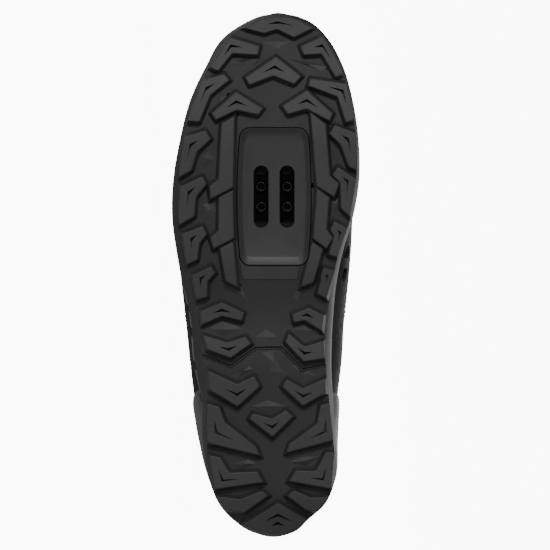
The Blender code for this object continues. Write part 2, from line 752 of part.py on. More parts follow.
def wall_thickness():
    # The wall, thicker where the collar is padded.
    depth = np.linalg.norm(last - last[-1], axis=2)
    from_heel = 1 - np.abs(np.arange(around) - half) / half
    collar = smooth((collar_end - from_heel) / collar_blend)
    swell = np.sin(math.pi * np.clip(depth / padding_depth, 0.12, 1))
    return upper_wall + collar_padding * collar * np.clip(swell, 0, 1)


inner = last - last_out * wall_thickness()[:, :, None]


def build_upper():
    inner_corner = on_seat(inset(feather_loop, upper_wall), margin_top)
    margin_edge = inset(feather_loop, lasting_margin)
    rings = [on_seat(margin_edge, gap)] + list(outer)
    rings += [inner[row] for row in range(len(last) - 1, 0, -1) if row != step_row]
    rings += [inner_corner, on_seat(margin_edge, margin_top)]
    faces = ring_faces(len(rings), around, wrap=True)
    upper = new_object("upper", np.vstack(rings), faces, "synthetic")
    holes = [hole_mesh(*eyelet(row, side)) for row in range(eyelet_rows) for side in (1, -1)]
    boolean(upper, combined("eyelet_cuts", holes))
    boolean(upper, combined("vent_cuts", [vent_mesh(station) for station in vent_stations]))
    return upper


eyelet_shares = np.linspace(eyelet_first, eyelet_last, eyelet_rows)


def wall_spot(column, row):
    # A point on the facets of the upper's outside and the way out there.
    i, r = int(column), int(row)
    u, v = column - i, row - r
    weights = [(i + di, r + dr, (u if di else 1 - u) * (v if dr else 1 - v))
               for di in (0, 1) for dr in (0, 1)]
    point = sum(outer[b, a % around] * w for a, b, w in weights)
    out = sum(last_out[b, a % around] * w for a, b, w in weights)
    return Vector(point), Vector(out).normalized()


def eyelet(row, side):
    # The middle of an eyelet on the outside of its stay, and the way out of the wall.
    column = eyelet_shares[row] * half
    column = column if side > 0 else around - column
    rows = len(last) - 1
    return wall_spot(column, rows - eyelet_inset / band_width * band_steps)


def across_axes(out):
    along = Vector((1, 0, 0)) - out * out.x
    along.normalize()
    return along, out.cross(along)


def hole_mesh(point, out, radius=eyelet_bore / 2, sides=10):
    along, side = across_axes(out)
    rim = [along * math.cos(a) * radius + side * math.sin(a) * radius
           for a in (2 * math.pi * k / sides for k in range(sides))]
    deep = (-2 * (upper_wall + band_step), upper_wall)
    vertices = [point + out * d + r for d in deep for r in rim]
    return vertices, tube_faces(sides)


def vent_mesh(station):
    # An oblong hole low in the medial wall.
    column = min(range(1, half), key=lambda k: abs(last[low_steps, k, 0] - station * shoe_length))
    ahead = (station * shoe_length - last[low_steps, column, 0])
    point, out = wall_spot(column, low_steps * vent_row)
    along, side = across_axes(out)
    shape = rounded_rectangle((ahead, 0), vent_length, vent_height, vent_height / 2, 2)
    deep = (-2 * upper_wall, upper_wall)
    vertices = [point + along * a + side * b + out * d for d in deep for a, b in shape]
    return vertices, tube_faces(len(shape))


# Overlays, from the upper's own surface

def shell(name, columns, rows, finish, lift=gap, thickness=overlay_thickness):
    # A layer over some columns and rows of the last, as a closed sheet.
    def sheet(height):
        return [last[r, c % around] + last_out[r, c % around] * height for r in rows for c in columns]

    near, far = sheet(lift), sheet(lift + thickness)
    across, total = len(columns), len(near)
    faces = []
    for r in range(len(rows) - 1):
        for c in range(across - 1):
            a = r * across + c
            quad = (a, a + 1, a + across + 1, a + across)
            faces += [quad, tuple(k + total for k in quad)]
    edge = list(range(across - 1))
    edge += [(r + 1) * across - 1 for r in range(len(rows) - 1)]
    edge += [total - 1 - c for c in range(across - 1)]
    edge += [total - across - r * across for r in range(len(rows) - 1)]
    for k, a in enumerate(edge):
        b = edge[(k + 1) % len(edge)]
        faces.append((a, b, b + total, a + total))
    return new_object(name, near + far, faces, finish)


def side_cut(name, corners):
    # A prism across the shoe from corners in side view, x as a share of the length.
    points = [(x * shoe_length, z) for x, z in corners]
    vertices = [(x, y, z) for y in (-ball_width, ball_width) for x, z in points]
    return new_object(name, vertices, tube_faces(len(points)), None)


def build_counter():
    reach = int(counter_reach * half)
    columns, rows = list(range(-reach, reach + 1)), list(range(1, step_row))
    counter = shell("heel_counter", columns, rows, "moulded")
    top = heel_stack + 0.5 * (collar_height - heel_stack)
    boolean(counter, side_cut("counter_outline", [
        (-0.1, heel_stack / 2), (0.32, heel_stack / 2), (0.245, 0.5 * (heel_stack + top)),
        (0.20, top), (0.08, top + 0.009), (-0.1, top + 0.011)]), "INTERSECT")
    return counter


def build_toe_cap():
    reach = int(cap_reach * half)
    columns, rows = list(range(half - reach, half + reach + 1)), list(range(1, low_steps + 4))
    cap = shell("toe_cap", columns, rows, "moulded")
    boolean(cap, side_cut("cap_outline", [(1.1, 0.0), (0.79, 0.0), (0.91, 2 * collar_height),
                                          (1.1, 2 * collar_height)]), "INTERSECT")
    return cap


# Insole, tongue and laces

def build_insole():
    plan = inset(feather_loop, upper_wall + insole_clearance)
    low = margin_top + gap
    rings = [on_seat(plan, low), on_seat(plan, low + insole_thickness)]
    return sole_solid("insole", rings, "footbed")


def build_tongue():
    # Rows from the free top down to the throat's front end, seven points across each, with the way
    # out at each point. It's thickest in the middle and thinner at its edges.
    top_row = len(last) - 1
    wing_rows = (step_row - 1, top_row - 1)
    first = int(round(top_knots[6] * half))
    throat_width = 2 * collar_half_width * top_line[8].width

    def under(row, column):
        return inner[row, column % around] - last_out[row, column % around] * tongue_clearance

    def wing(column, tuck):
        # Three points from under the stay to its edge, with their ways out.
        edge, out = under(top_row, column), last_out[top_row, column % around]
        spots = [edge + (under(row, column) - edge) * tuck for row in wing_rows]
        ways = [out + (last_out[row, column % around] - out) * tuck for row in wing_rows]
        return spots + [edge], ways + [out]

    spots, ways = [], []
    for column in range(first, half - 1):
        tuck = min(1.0, tuck_first + tuck_step * (column - first))
        near, near_out = wing(column, tuck)
        far, far_out = wing(around - column, tuck)
        arch = (near[-1] + far[-1]) / 2
        span = np.linalg.norm(near[-1] - far[-1]) / throat_width
        arch[2] += tongue_crown * min(span, 1) ** 2
        spots.append(near + [arch] + far[::-1])
        ways.append(near_out + [near_out[-1] + far_out[-1]] + far_out[::-1])
    away = spots[0][3] - spots[2][3]
    away /= np.linalg.norm(away)
    narrow = np.linalg.norm(spots[0][2] - spots[0][4]) * tongue_free_width
    free = []
    for share in (1.0, 0.5):
        middle = spots[0][3] + away * tongue_rise * share + (0, 0, tongue_rise * tongue_free_rise * share)
        breadth = narrow + (tongue_top_width - narrow) * (2 * share - 1)
        free.append([middle + (0, u * breadth / 2, -u * u * tongue_crown * 2) for u in tongue_across])
    grid = np.array(free + spots)
    count, across = grid.shape[:2]
    out = np.array([[(away[2], 0, -away[0])] * across] * len(free) + ways)
    out /= np.linalg.norm(out, axis=2)[:, :, None]
    below = grid - out * (tongue_thickness * np.array(tongue_profile))[None, :, None]
    vertices = list(grid.reshape(-1, 3)) + list(below.reshape(-1, 3))
    total = count * across
    faces = []
    for r in range(count - 1):
        for c in range(across - 1):
            a = r * across + c
            quad = (a, a + 1, a + across + 1, a + across)
            faces += [quad, tuple(k + total for k in quad)]
    rim = [(r * across + c, r * across + c + 1) for c in range(across - 1) for r in (0, count - 1)]
    rim += [(r * across + c, (r + 1) * across + c) for r in range(count - 1) for c in (0, across - 1)]
    faces += [(a, b, b + total, a + total) for a, b in rim]
    return new_object("tongue", vertices, faces, "padding")


def build_lace(row):
    # A straight bar between two eyelets, with a short stub down each.
    lift = lace_clearance + lace_thickness / 2
    column = eyelet_shares[row] * half
    stub = upper_wall + band_step - 2 * gap
    halves = []
    for side, at in ((1, column), (-1, around - column)):
        hole, out = eyelet(row, side)
        edge, edge_out = wall_spot(at, len(last) - 1.001)
        breadth = (edge - hole).cross(out).normalized() * side
        above = (edge_out + Vector((0, 0, 1))).normalized() * lift * 1.3
        points = [hole - out * stub, hole, hole + out * lift, edge + above]
        widths = [lace_stub_width, lace_stub_width, lace_width, lace_width]
        halves.append([(point, breadth, width) for point, width in zip(points, widths)])
    medial, lateral = halves
    crest = (medial[-1][0] + lateral[-1][0]) / 2 + Vector((0, 0, tongue_crown / 2))
    middle = (crest, (medial[-1][1] + lateral[-1][1]).normalized(), lace_width)
    path = medial + [middle] + lateral[::-1]
    vertices = []
    for k, (point, breadth, width) in enumerate(path):
        back, ahead = path[max(k - 1, 0)][0], path[min(k + 1, len(path) - 1)][0]
        after = (ahead - point).normalized() if ahead != point else (point - back).normalized()
        before = (point - back).normalized() if back != point else after
        tangent = (before + after).normalized()
        breadth = (breadth - tangent * breadth.dot(tangent)).normalized()
        thick = tangent.cross(breadth) * (lace_thickness / 2 / max(tangent.dot(after), 0.6))
        corners = ((1, 1), (-1, 1), (-1, -1), (1, -1))
        vertices += [point + breadth * width / 2 * a + thick * b for a, b in corners]
    count = len(path)
    faces = ring_faces(count, 4)
    faces += [(0, 1, 2, 3), tuple(4 * (count - 1) + k for k in range(4))]
    return new_object(f"lace_bar_{row + 1}", vertices, faces, "lace")


# Lying on the lateral side

def world_mesh(piece, graph):
    evaluated = piece.evaluated_get(graph)
    mesh = evaluated.to_mesh()
    bm = bmesh.new()
    bm.from_mesh(mesh)
    evaluated.to_mesh_clear()
    bmesh.ops.triangulate(bm, faces=bm.faces)
    bm.transform(piece.matrix_world)
    return bm


def balance_and_hull(pieces):
    # The centre of mass and every corner of the pieces.
    bpy.context.view_layer.update()
    graph = bpy.context.evaluated_depsgraph_get()
    mass, moment, corners = 0.0, Vector((0, 0, 0)), []
    for piece in pieces:
        bm = world_mesh(piece, graph)
        density = finishes[piece.data.materials[0].name].density
        for face in bm.faces:
            a, b, c = (v.co for v in face.verts)
            part = a.dot(b.cross(c)) / 6 * density
            mass += part
            moment += (a + b + c) / 4 * part
        corners += [v.co.copy() for v in bm.verts]
        bm.free()
    return moment / mass, corners


def lay_on_lateral_side(pieces):
    # The shoe turns until the face of its hull below the centre of mass lies on the floor.
    balance, corners = balance_and_hull(pieces)
    bm = bmesh.new()
    for corner in corners:
        bm.verts.new(corner)
    bmesh.ops.convex_hull(bm, input=bm.verts)
    bmesh.ops.triangulate(bm, faces=bm.faces)
    down = Vector((0, -1, 0))
    for _ in range(4):
        best = None
        for face in bm.faces:
            spread = face.normal.dot(down)
            if spread <= 0.2:
                continue
            reach = face.normal.dot(face.verts[0].co - balance) / spread
            foot = balance + down * reach
            if bmesh.geometry.intersect_face_point(face, foot) and (best is None or reach < best[0]):
                best = (reach, face.normal.copy())
        if best is None or best[1].dot(down) > 0.999999:
            break
        down = best[1]
    bm.free()
    up = -down
    toe = Vector((1, 0, 0))
    back = (up * toe.dot(up) - toe).normalized()
    turn = Matrix((back, up.cross(back), up))
    laid = [turn @ corner for corner in corners]
    low = [min(p[k] for p in laid) for k in range(3)]
    high = [max(p[k] for p in laid) for k in range(3)]
    centre = Vector(((low[0] + high[0]) / 2, (low[1] + high[1]) / 2, low[2]))
    shoe.matrix_world = Matrix.Translation(-centre) @ turn.to_4x4()


all_pieces = [build_outsole(), build_midsole(), build_plate(), build_nut(), build_insole(),
              build_upper(), build_counter(), build_toe_cap(), build_tongue()]
all_pieces += [build_lace(row) for row in range(eyelet_rows)]
lay_on_lateral_side(all_pieces)
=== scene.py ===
import json
import math

import bmesh
import bpy
import numpy as np
from mathutils import Matrix, Vector


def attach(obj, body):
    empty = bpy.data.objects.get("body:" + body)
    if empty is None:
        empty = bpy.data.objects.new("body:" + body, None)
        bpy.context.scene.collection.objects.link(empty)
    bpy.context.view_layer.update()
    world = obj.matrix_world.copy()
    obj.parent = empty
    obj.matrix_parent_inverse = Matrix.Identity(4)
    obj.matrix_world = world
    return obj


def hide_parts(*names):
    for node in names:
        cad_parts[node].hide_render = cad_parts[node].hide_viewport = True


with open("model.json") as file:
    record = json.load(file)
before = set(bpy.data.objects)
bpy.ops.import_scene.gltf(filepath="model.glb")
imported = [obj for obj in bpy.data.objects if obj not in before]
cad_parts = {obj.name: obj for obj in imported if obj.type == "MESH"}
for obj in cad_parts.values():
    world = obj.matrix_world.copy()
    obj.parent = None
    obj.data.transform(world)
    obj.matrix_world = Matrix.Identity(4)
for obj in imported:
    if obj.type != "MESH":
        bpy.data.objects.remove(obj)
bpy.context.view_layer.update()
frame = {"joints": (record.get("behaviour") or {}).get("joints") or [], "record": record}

millimetre = 0.001


# Shoe axes in the frame, from the cleat seat and the nut's slide

seatInShoe = Vector((0.1833, -0.0005, 0.0067))
mounts = {mount["name"]: mount for mount in frame["record"]["mounts"]}
up = -Vector(mounts["cleat_seat"]["axis"]).normalized()
toe = Vector(frame["joints"][0]["axis"])
toe = (toe - up * toe.dot(up)).normalized()
medial = up.cross(toe)
turn = Matrix((toe, medial, up)).transposed()
seatInFrame = Vector(mounts["cleat_seat"]["pos_m"])
toFrame = Matrix.Translation(seatInFrame - turn @ seatInShoe) @ turn.to_4x4()


# Small helpers

def hexToLinear(code):
    channels = [int(code[k:k + 2], 16) / 255 for k in (0, 2, 4)]
    return [c / 12.92 if c <= 0.04045 else ((c + 0.055) / 1.055) ** 2.4 for c in channels] + [1.0]


def addNode(tree, kind, settings=None, inputs=None, links=None):
    # Adds a node; settings are its own values, inputs its sockets' values and links (socket, output).
    node = tree.nodes.new(kind)
    for name, value in (settings or {}).items():
        setattr(node, name, value)
    for name, value in (inputs or {}).items():
        node.inputs[name].default_value = value
    for name, output in (links or {}).items():
        tree.links.new(output, node.inputs[name])
    return node


def addRamp(tree, factor, stops):
    # A colour ramp; its two stops are (position, colour) pairs.
    node = addNode(tree, "ShaderNodeValToRGB", links={"Fac": factor})
    for element, (position, colour) in zip(node.color_ramp.elements, stops):
        element.position = position
        element.color = colour
    return node.outputs["Color"]


def addObject(name, data):
    made = bpy.data.objects.new(name, data)
    bpy.context.collection.objects.link(made)
    return made


def meshObject(name, bm):
    bm.normal_update()
    bmesh.ops.recalc_face_normals(bm, faces=bm.faces)
    mesh = bpy.data.meshes.new(name)
    bm.to_mesh(mesh)
    bm.free()
    return addObject(name, mesh)


def bareObject(name, bm):
    # A mesh drawn in the shoe's axes, laid on the floor.
    bm.transform(toFrame)
    return meshObject(name, bm)


def shade(mesh, crease):
    mesh.shade_smooth()
    mesh.set_sharp_from_angle(angle=math.radians(crease))


def dress(piece, materials, body, smooth):
    for material in materials:
        piece.data.materials.append(material)
    shade(piece.data, smooth)
    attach(piece, body)
    return piece


def newPiece(name, vertices, faces, materials, body, smooth=35, indices=None, merge=0.00001):
    # indices gives each face's material; merge is the distance under which points become one.
    bm = bmesh.new()
    placed = [bm.verts.new(toFrame @ Vector(point)) for point in vertices]
    for face, index in zip(faces, indices or [0] * len(faces)):
        bm.faces.new([placed[corner] for corner in face]).material_index = index
    if merge:
        bmesh.ops.remove_doubles(bm, verts=bm.verts, dist=merge)
    return dress(meshObject(name, bm), materials, body, smooth)


def ringFaces(rings, count, wrap=False):
    faces = []
    for r in range(rings if wrap else rings - 1):
        here, there = r * count, (r + 1) % rings * count
        for i in range(count):
            j = (i + 1) % count
            faces.append((here + i, here + j, there + j, there + i))
    return faces


def sheetFaces(rows, across):
    # A front grid of points, then a back one, and the rim between them.
    total = rows * across
    faces = []
    for r in range(rows - 1):
        for c in range(across - 1):
            a = r * across + c
            quad = (a, a + 1, a + across + 1, a + across)
            faces += [quad, tuple(k + total for k in quad)]
    rim = [(r * across + c, r * across + c + 1) for c in range(across - 1) for r in (0, rows - 1)]
    rim += [(r * across + c, (r + 1) * across + c) for r in range(rows - 1) for c in (0, across - 1)]
    return faces + [(a, b, b + total, a + total) for a, b in rim]


def addRing(bm, loop, height):
    # height is a number or a function of x.
    return [bm.verts.new((x, y, height(x) if callable(height) else height)) for x, y in loop]


def joinRings(bm, rings):
    for a, b in zip(rings, rings[1:]):
        for i in range(len(a)):
            j = (i + 1) % len(a)
            bm.faces.new((a[i], a[j], b[j], b[i]))


def addSolid(bm, levels):
    # A closed body through (loop, height) rings.
    rings = [addRing(bm, loop, height) for loop, height in levels]
    joinRings(bm, rings)
    bm.faces.new(rings[0])
    bm.faces.new(rings[-1])


def applyModifiers(piece):
    graph = bpy.context.evaluated_depsgraph_get()
    evaluated = piece.evaluated_get(graph)
    mesh = bpy.data.meshes.new_from_object(evaluated, preserve_all_data_layers=True, depsgraph=graph)
    piece.modifiers.clear()
    piece.data = mesh


def cutWith(piece, cutter, operation="DIFFERENCE", lining=None):
    # The cut faces get the lining's material, or else the piece's first one.
    cutter.data.materials.clear()
    cutter.data.materials.append(lining or piece.data.materials[0])
    modifier = piece.modifiers.new("cut", "BOOLEAN")
    modifier.operation = operation
    modifier.solver = "MANIFOLD"
    modifier.material_mode = "TRANSFER"
    modifier.object = cutter
    applyModifiers(piece)
    bpy.data.objects.remove(cutter)


def unit(vectors):
    return vectors / np.linalg.norm(vectors, axis=-1, keepdims=True)


def readColumns(at, knots, points):
    return np.column_stack([np.interp(at, knots, column) for column in np.asarray(points).T])


def smoothStep(value):
    value = np.clip(value, 0, 1)
    return value * value * (3 - 2 * value)


def spline(points, knots, at, period=None):
    # A smooth curve through the points, read at the parameters in at.
    points = np.asarray(points, float)
    knots = np.asarray(knots, float)
    if period:
        points = np.vstack([points[-1:], points, points[:2]])
        knots = np.concatenate([[knots[-1] - period], knots, [period + knots[0], period + knots[1]]])
    steps = np.diff(knots)
    slopes = np.diff(points, axis=0) / steps[:, None]
    tangents = np.vstack([slopes[:1], slopes])
    before, after = steps[:-1, None], steps[1:, None]
    tangents[1:-1] = (slopes[:-1] * after + slopes[1:] * before) / (before + after)
    at = np.atleast_1d(at)
    index = np.clip(np.searchsorted(knots, at, side="right") - 1, 0, len(steps) - 1)
    step = steps[index][:, None]
    u = ((at - knots[index]) / steps[index])[:, None]
    start, end = points[index], points[index + 1]
    return (start * (1 + 2 * u) * (1 - u) ** 2 + tangents[index] * step * u * (1 - u) ** 2
            + end * u * u * (3 - 2 * u) - tangents[index + 1] * step * u * u * (1 - u))


# Sizes of the last and the sole, in metres, as the frame has them

shape = {
    "length": 0.282, "ballWidth": 0.102, "gap": 0.0003,
    "lugDepth": 0.0050, "lugDraft": 0.0019, "treadSlab": 0.0030, "rimWall": 0.0022,
    "toeSpring": 0.019, "heelBevel": 0.007, "archRise": 0.003,
    "springStart": 0.74, "bevelEnd": 0.09, "archStart": 0.32, "archLength": 0.22,
    "heelStack": 0.030, "ballStack": 0.0185, "toeStack": 0.0165, "featherInset": 0.0015,
    "upperWall": 0.0022, "lastingMargin": 0.0090, "bandWidth": 0.0130, "bandStep": 0.0010,
    "collarPadding": 0.0035, "paddingDepth": 0.034, "collarEnd": 0.42, "collarBlend": 0.10,
    "collarHeight": 0.093, "throatFront": 0.191, "throatHeight": 0.0685,
    "collarHalfWidth": 0.030, "lateralDrop": 0.004,
}
shoeLength = shape["length"]
ballWidth = shape["ballWidth"]
gap = shape["gap"]


def inMetres(points):
    # From shares of the sole's length and ball width.
    return np.array(points) * (shoeLength, ballWidth)


# Outline seen from below: station, then the lateral and medial half widths of sole, tread and upper.
sections = [
    (0.012, -0.148, 0.122, -0.144, 0.119, -0.136, 0.110),
    (0.032, -0.228, 0.180, -0.223, 0.176, -0.213, 0.166),
    (0.060, -0.296, 0.265, -0.290, 0.260, -0.283, 0.250),
    (0.108, -0.349, 0.320, -0.342, 0.315, -0.340, 0.309),
    (0.185, -0.386, 0.320, -0.360, 0.307, -0.394, 0.322),
    (0.261, -0.394, 0.307, -0.360, 0.286, -0.429, 0.333),
    (0.338, -0.434, 0.299, -0.378, 0.267, -0.455, 0.357),
    (0.414, -0.452, 0.307, -0.400, 0.275, -0.476, 0.369),
    (0.490, -0.495, 0.328, -0.444, 0.307, -0.500, 0.392),
    (0.548, -0.524, 0.362, -0.487, 0.341, -0.516, 0.405),
    (0.605, -0.545, 0.410, -0.511, 0.397, -0.527, 0.413),
    (0.682, -0.540, 0.447, -0.511, 0.429, -0.524, 0.434),
    (0.758, -0.505, 0.444, -0.484, 0.431, -0.489, 0.430),
    (0.835, -0.450, 0.413, -0.429, 0.397, -0.434, 0.399),
    (0.902, -0.365, 0.360, -0.344, 0.344, -0.350, 0.346),
    (0.949, -0.291, 0.291, -0.265, 0.275, -0.276, 0.277),
    (0.978, -0.185, 0.217, -0.159, 0.196, -0.171, 0.203),
    (0.995, -0.079, 0.116, -0.064, 0.101, -0.066, 0.103),
]
# Heel and toe ends of each outline: station and width share.
tips = {"sole": (-0.003, 0.0, 1.0045, 0.016), "tread": (-0.0015, 0.0, 1.002, 0.016),
        "upper": (0.003, 0.0, 0.997, 0.016)}
# Top line: share round the half outline, then length, width, height and lean in degrees.
topLine = [
    (0.000, 0.047, 0.00, 1.000, 82), (0.070, 0.073, 0.57, 0.980, 82), (0.160, 0.157, 0.90, 0.870, 80),
    (0.240, 0.272, 1.00, 0.735, 78), (0.310, 0.387, 1.00, 0.750, 72), (0.375, 0.492, 0.90, 0.915, 55),
    (0.430, 0.565, 0.74, 1.060, 38), (0.490, 0.670, 0.58, 0.900, 30), (0.560, 0.785, 0.52, 0.620, 26),
    (0.640, 0.900, 0.47, 0.250, 23), (0.760, 0.974, 0.34, 0.060, 20), (1.000, 1.000, 0.00, 0.000, 17),
]
# Station, rubber's share of the side wall, where the upper is widest, how long it goes straight up.
profiles = np.array([
    (0.00, 0.52, 0.42, 0.36), (0.16, 0.46, 0.42, 0.36), (0.30, 0.36, 0.44, 0.36), (0.45, 0.36, 0.47, 0.36),
    (0.60, 0.68, 0.44, 0.34), (0.78, 0.84, 0.40, 0.28), (0.92, 0.88, 0.32, 0.17), (1.00, 0.90, 0.30, 0.13),
])

around = 256
half = around // 2


def outlinePoints(name, lateral):
    heelStation, heelOffset, toeStation, toeOffset = tips[name]
    rows = [(heelStation, heelOffset)] + [(row[0], row[lateral + 1]) for row in sections]
    rows += [(toeStation, toeOffset)] + [(row[0], row[lateral]) for row in reversed(sections)]
    return inMetres(rows)


solePoints = outlinePoints("sole", 1)
chords = np.linalg.norm(np.roll(solePoints, -1, axis=0) - solePoints, axis=1)
outlineKnots = np.concatenate([[0], np.cumsum(chords)[:-1]])
toeKnot = outlineKnots[len(sections) + 1]


def outline(points):
    # Index 0 is at the heel and half at the toe, the medial side first.
    steps = np.arange(half) / half
    at = np.concatenate([steps * toeKnot, toeKnot + steps * (chords.sum() - toeKnot)])
    return spline(points, outlineKnots, at, chords.sum())


def inward(loop):
    along = unit(np.roll(loop, -1, axis=0) - np.roll(loop, 1, axis=0))
    return np.column_stack([along[:, 1], -along[:, 0]])


def inset(loop, distance):
    return loop + inward(loop) * distance


def byStation(column, x):
    return np.interp(np.asarray(x) / shoeLength, profiles[:, 0], profiles[:, column])


def rise(station, start, end):
    return np.clip((station - start) / (end - start), 0, 1.2) ** 1.8


def springHeight(x):
    return shape["toeSpring"] * rise(np.asarray(x) / shoeLength, shape["springStart"], 1)


def treadHeight(x):
    station = np.asarray(x) / shoeLength
    arch = np.sin(math.pi * np.clip((station - shape["archStart"]) / shape["archLength"], 0, 1)) ** 2
    bevel = rise(station, shape["bevelEnd"], 0)
    return springHeight(x) + shape["heelBevel"] * bevel + shape["archRise"] * arch


def baseHeight(x):
    return treadHeight(x) + shape["lugDepth"]


def seatHeight(x):
    station = np.asarray(x) / shoeLength
    heel, ball, front = shape["heelStack"], shape["ballStack"], shape["toeStack"]
    stack = heel + (ball - heel) * smoothStep((station - 0.25) / 0.38)
    return springHeight(x) + (stack + (front - ball) * smoothStep((station - 0.75) / 0.25))


def above(surface, lift):
    # A height function of x that lies so much above another one.
    return lambda x: surface(x) + lift


def raised(loop, heights):
    return np.column_stack([loop, np.broadcast_to(heights, len(loop))])


def onSeat(loop, lift=0.0):
    return raised(loop, seatHeight(loop[:, 0]) + lift)


def onBase(loop, lift=0.0):
    return raised(loop, baseHeight(loop[:, 0]) + lift)


soleLoop = outline(solePoints)
treadLoop = outline(outlinePoints("tread", 3))
widestLoop = outline(outlinePoints("upper", 5))
featherLoop = inset(soleLoop, shape["featherInset"])
baseZ = baseHeight(treadLoop[:, 0])
featherZ = seatHeight(featherLoop[:, 0])
rubberShare = byStation(1, soleLoop[:, 0])
bulgeShare = 0.55


def sidePlan(share):
    share = np.broadcast_to(share, around)[:, None]
    lower = np.clip(share / bulgeShare, 0, 1)
    upper = np.clip((share - bulgeShare) / (1 - bulgeShare), 0, 1)
    below = treadLoop + (soleLoop - treadLoop) * (2 * lower - lower * lower)
    return np.where(share <= bulgeShare, below, soleLoop + (featherLoop - soleLoop) * upper * upper)


def sideHeight(share):
    return baseZ + (featherZ - baseZ) * share


print("shoe axes and sizes ready")


# Materials

def startMaterial(name, colour, roughness, sockets=None):
    material = bpy.data.materials.new(name)
    material.use_nodes = True
    tree = material.node_tree
    shader = tree.nodes["Principled BSDF"]
    values = {"Base Color": hexToLinear(colour), "Roughness": roughness, **(sockets or {})}
    for socket, value in values.items():
        shader.inputs[socket].default_value = value
    return material, tree, shader, addNode(tree, "ShaderNodeTexCoord").outputs["Object"]


def addNoise(tree, place, size, detail, roughness=0.5):
    inputs = {"Scale": 1 / size, "Detail": detail, "Roughness": roughness}
    return addNode(tree, "ShaderNodeTexNoise", {}, inputs, {"Vector": place}).outputs["Fac"]


def addGloss(tree, shader, value, low, high):
    gloss = addNode(tree, "ShaderNodeMapRange", {}, {"To Min": low, "To Max": high}, {"Value": value})
    tree.links.new(gloss.outputs["Result"], shader.inputs["Roughness"])


def addBump(tree, shader, height, strength, distance):
    inputs = {"Strength": strength, "Distance": distance}
    bump = addNode(tree, "ShaderNodeBump", {}, inputs, {"Height": height})
    tree.links.new(bump.outputs["Normal"], shader.inputs["Normal"])


def rubberMaterial(name, dark, light, roughness):
    # Moulded carbon-black rubber: matt, with a fine spark-eroded grain from the mould, faint dusty
    # bloom in soft clouds and slightly paler worn patches.
    material, tree, shader, place = startMaterial(name, dark, roughness)
    grain = addNoise(tree, place, 0.35 * millimetre, 3.0, 0.6)
    cloud = addNoise(tree, place, 22 * millimetre, 5.0, 0.62)
    bloom = addRamp(tree, cloud, [(0.36, hexToLinear(dark)), (0.70, hexToLinear(light))])
    speck = addRamp(tree, grain, [(0.30, (0.8, 0.8, 0.8, 1)), (0.72, (1, 1, 1, 1))])
    colour = addNode(tree, "ShaderNodeMix", {"data_type": "RGBA", "blend_type": "MULTIPLY"},
                     {"Factor": 0.8}, {"A": bloom, "B": speck})
    tree.links.new(colour.outputs["Result"], shader.inputs["Base Color"])
    addGloss(tree, shader, cloud, roughness - 0.08, roughness + 0.10)
    addBump(tree, shader, grain, 0.35, 0.05 * millimetre)
    return material


outsoleRubber = rubberMaterial("mouldedRubber", "2f2f2f", "383838", 0.60)
# The same rubber made darker: painted shade on the base between the lugs and inside the band's dents.
shadedRecessRubber = rubberMaterial("recessShadeRubber", "242424", "2b2b2b", 0.66)
# EVA midsole foam: compression moulded, a smoother skin than the rubber's and a touch greyer.
midsoleFoam = rubberMaterial("mouldedFoam", "7a7a7b", "848485", 0.58)
plateNylon = rubberMaterial("glassFilledNylon", "2b2b2c", "303031", 0.50)
# Moulded TPU: the grey heel counter and the nearly black toe cap.
counterTpu = rubberMaterial("counterTpu", "6c6c6d", "757576", 0.50)
capTpu = rubberMaterial("capTpu", "272728", "2e2e2f", 0.52)


def steelMaterial(name, colour):
    # Steel with fine scratches and a thin oily sheen.
    material, tree, shader, place = startMaterial(name, colour, 0.34, {"Metallic": 1.0})
    addGloss(tree, shader, addNoise(tree, place, 0.5 * millimetre, 4.0), 0.26, 0.46)
    return material


def wovenMaterial(name, dark, light, thread, roughness, strength, sheen):
    # Woven or knitted yarn: a fine two-way weave, with sheen at grazing angles and soft colour change.
    sheenSockets = {"Sheen Weight": sheen, "Sheen Roughness": 0.5}
    material, tree, shader, place = startMaterial(name, dark, roughness, sheenSockets)
    filaments = 5  # bands across a thread; a wave repeats every pi / 10 of its scaled space
    inputs = {"Scale": math.pi / 10 * filaments / thread, "Distortion": 1.2, "Detail": 1.0,
              "Detail Scale": 2.0}
    waves = [addNode(tree, "ShaderNodeTexWave", {"wave_type": "BANDS", "bands_direction": direction},
                     inputs, {"Vector": place}).outputs["Fac"] for direction in ("X", "Z")]
    product = addNode(tree, "ShaderNodeMath", {"operation": "MULTIPLY"}, links=dict(enumerate(waves)))
    weave = product.outputs[0]
    cloud = addNoise(tree, place, 15 * millimetre, 4.0)
    share = addNode(tree, "ShaderNodeMath", {"operation": "MULTIPLY_ADD"}, {1: 0.6}, {0: weave, 2: cloud})
    tone = addRamp(tree, share.outputs[0], [(0.35, hexToLinear(dark)), (0.95, hexToLinear(light))])
    tree.links.new(tone, shader.inputs["Base Color"])
    addBump(tree, shader, weave, strength, thread * 0.25)
    return material


# The nut is stamped steel with its body near black: painted shade in the slots that it shows through. Its
# threads and the rims of its bores keep the bare steel's colour.
nutShadeSteel = steelMaterial("nutShadeSteel", "0f0f10")
bareSteel = steelMaterial("bareSteel", "8c8c8b")
# Near black on the walls of the pocket that the nut slides in: painted shade at the ends of the slots.
pocketShadeLining = rubberMaterial("pocketShadeLining", "050505", "080808", 0.85)
upperTextile = wovenMaterial("coatedWovenTextile", "1c1c1e", "262628", 0.9 * millimetre, 0.66, 0.5, 0.05)
liningMesh = wovenMaterial("airMeshLining", "1c1c1e", "2b2b2d", 1.6 * millimetre, 0.85, 0.8, 0.4)
footbedFabric = wovenMaterial("brushedPolyester", "232325", "2e2e30", 0.8 * millimetre, 0.9, 0.4, 0.4)
laceWeave = wovenMaterial("wovenLacePolyester", "19191a", "2a2a2b", 0.7 * millimetre, 0.75, 0.9, 0.3)
threadPolyester = wovenMaterial("polyesterThread", "2c2c2e", "3a3a3c", 0.4 * millimetre, 0.6, 0.4, 0.3)
print("materials ready")


# Camera, square to the sole as in the photo

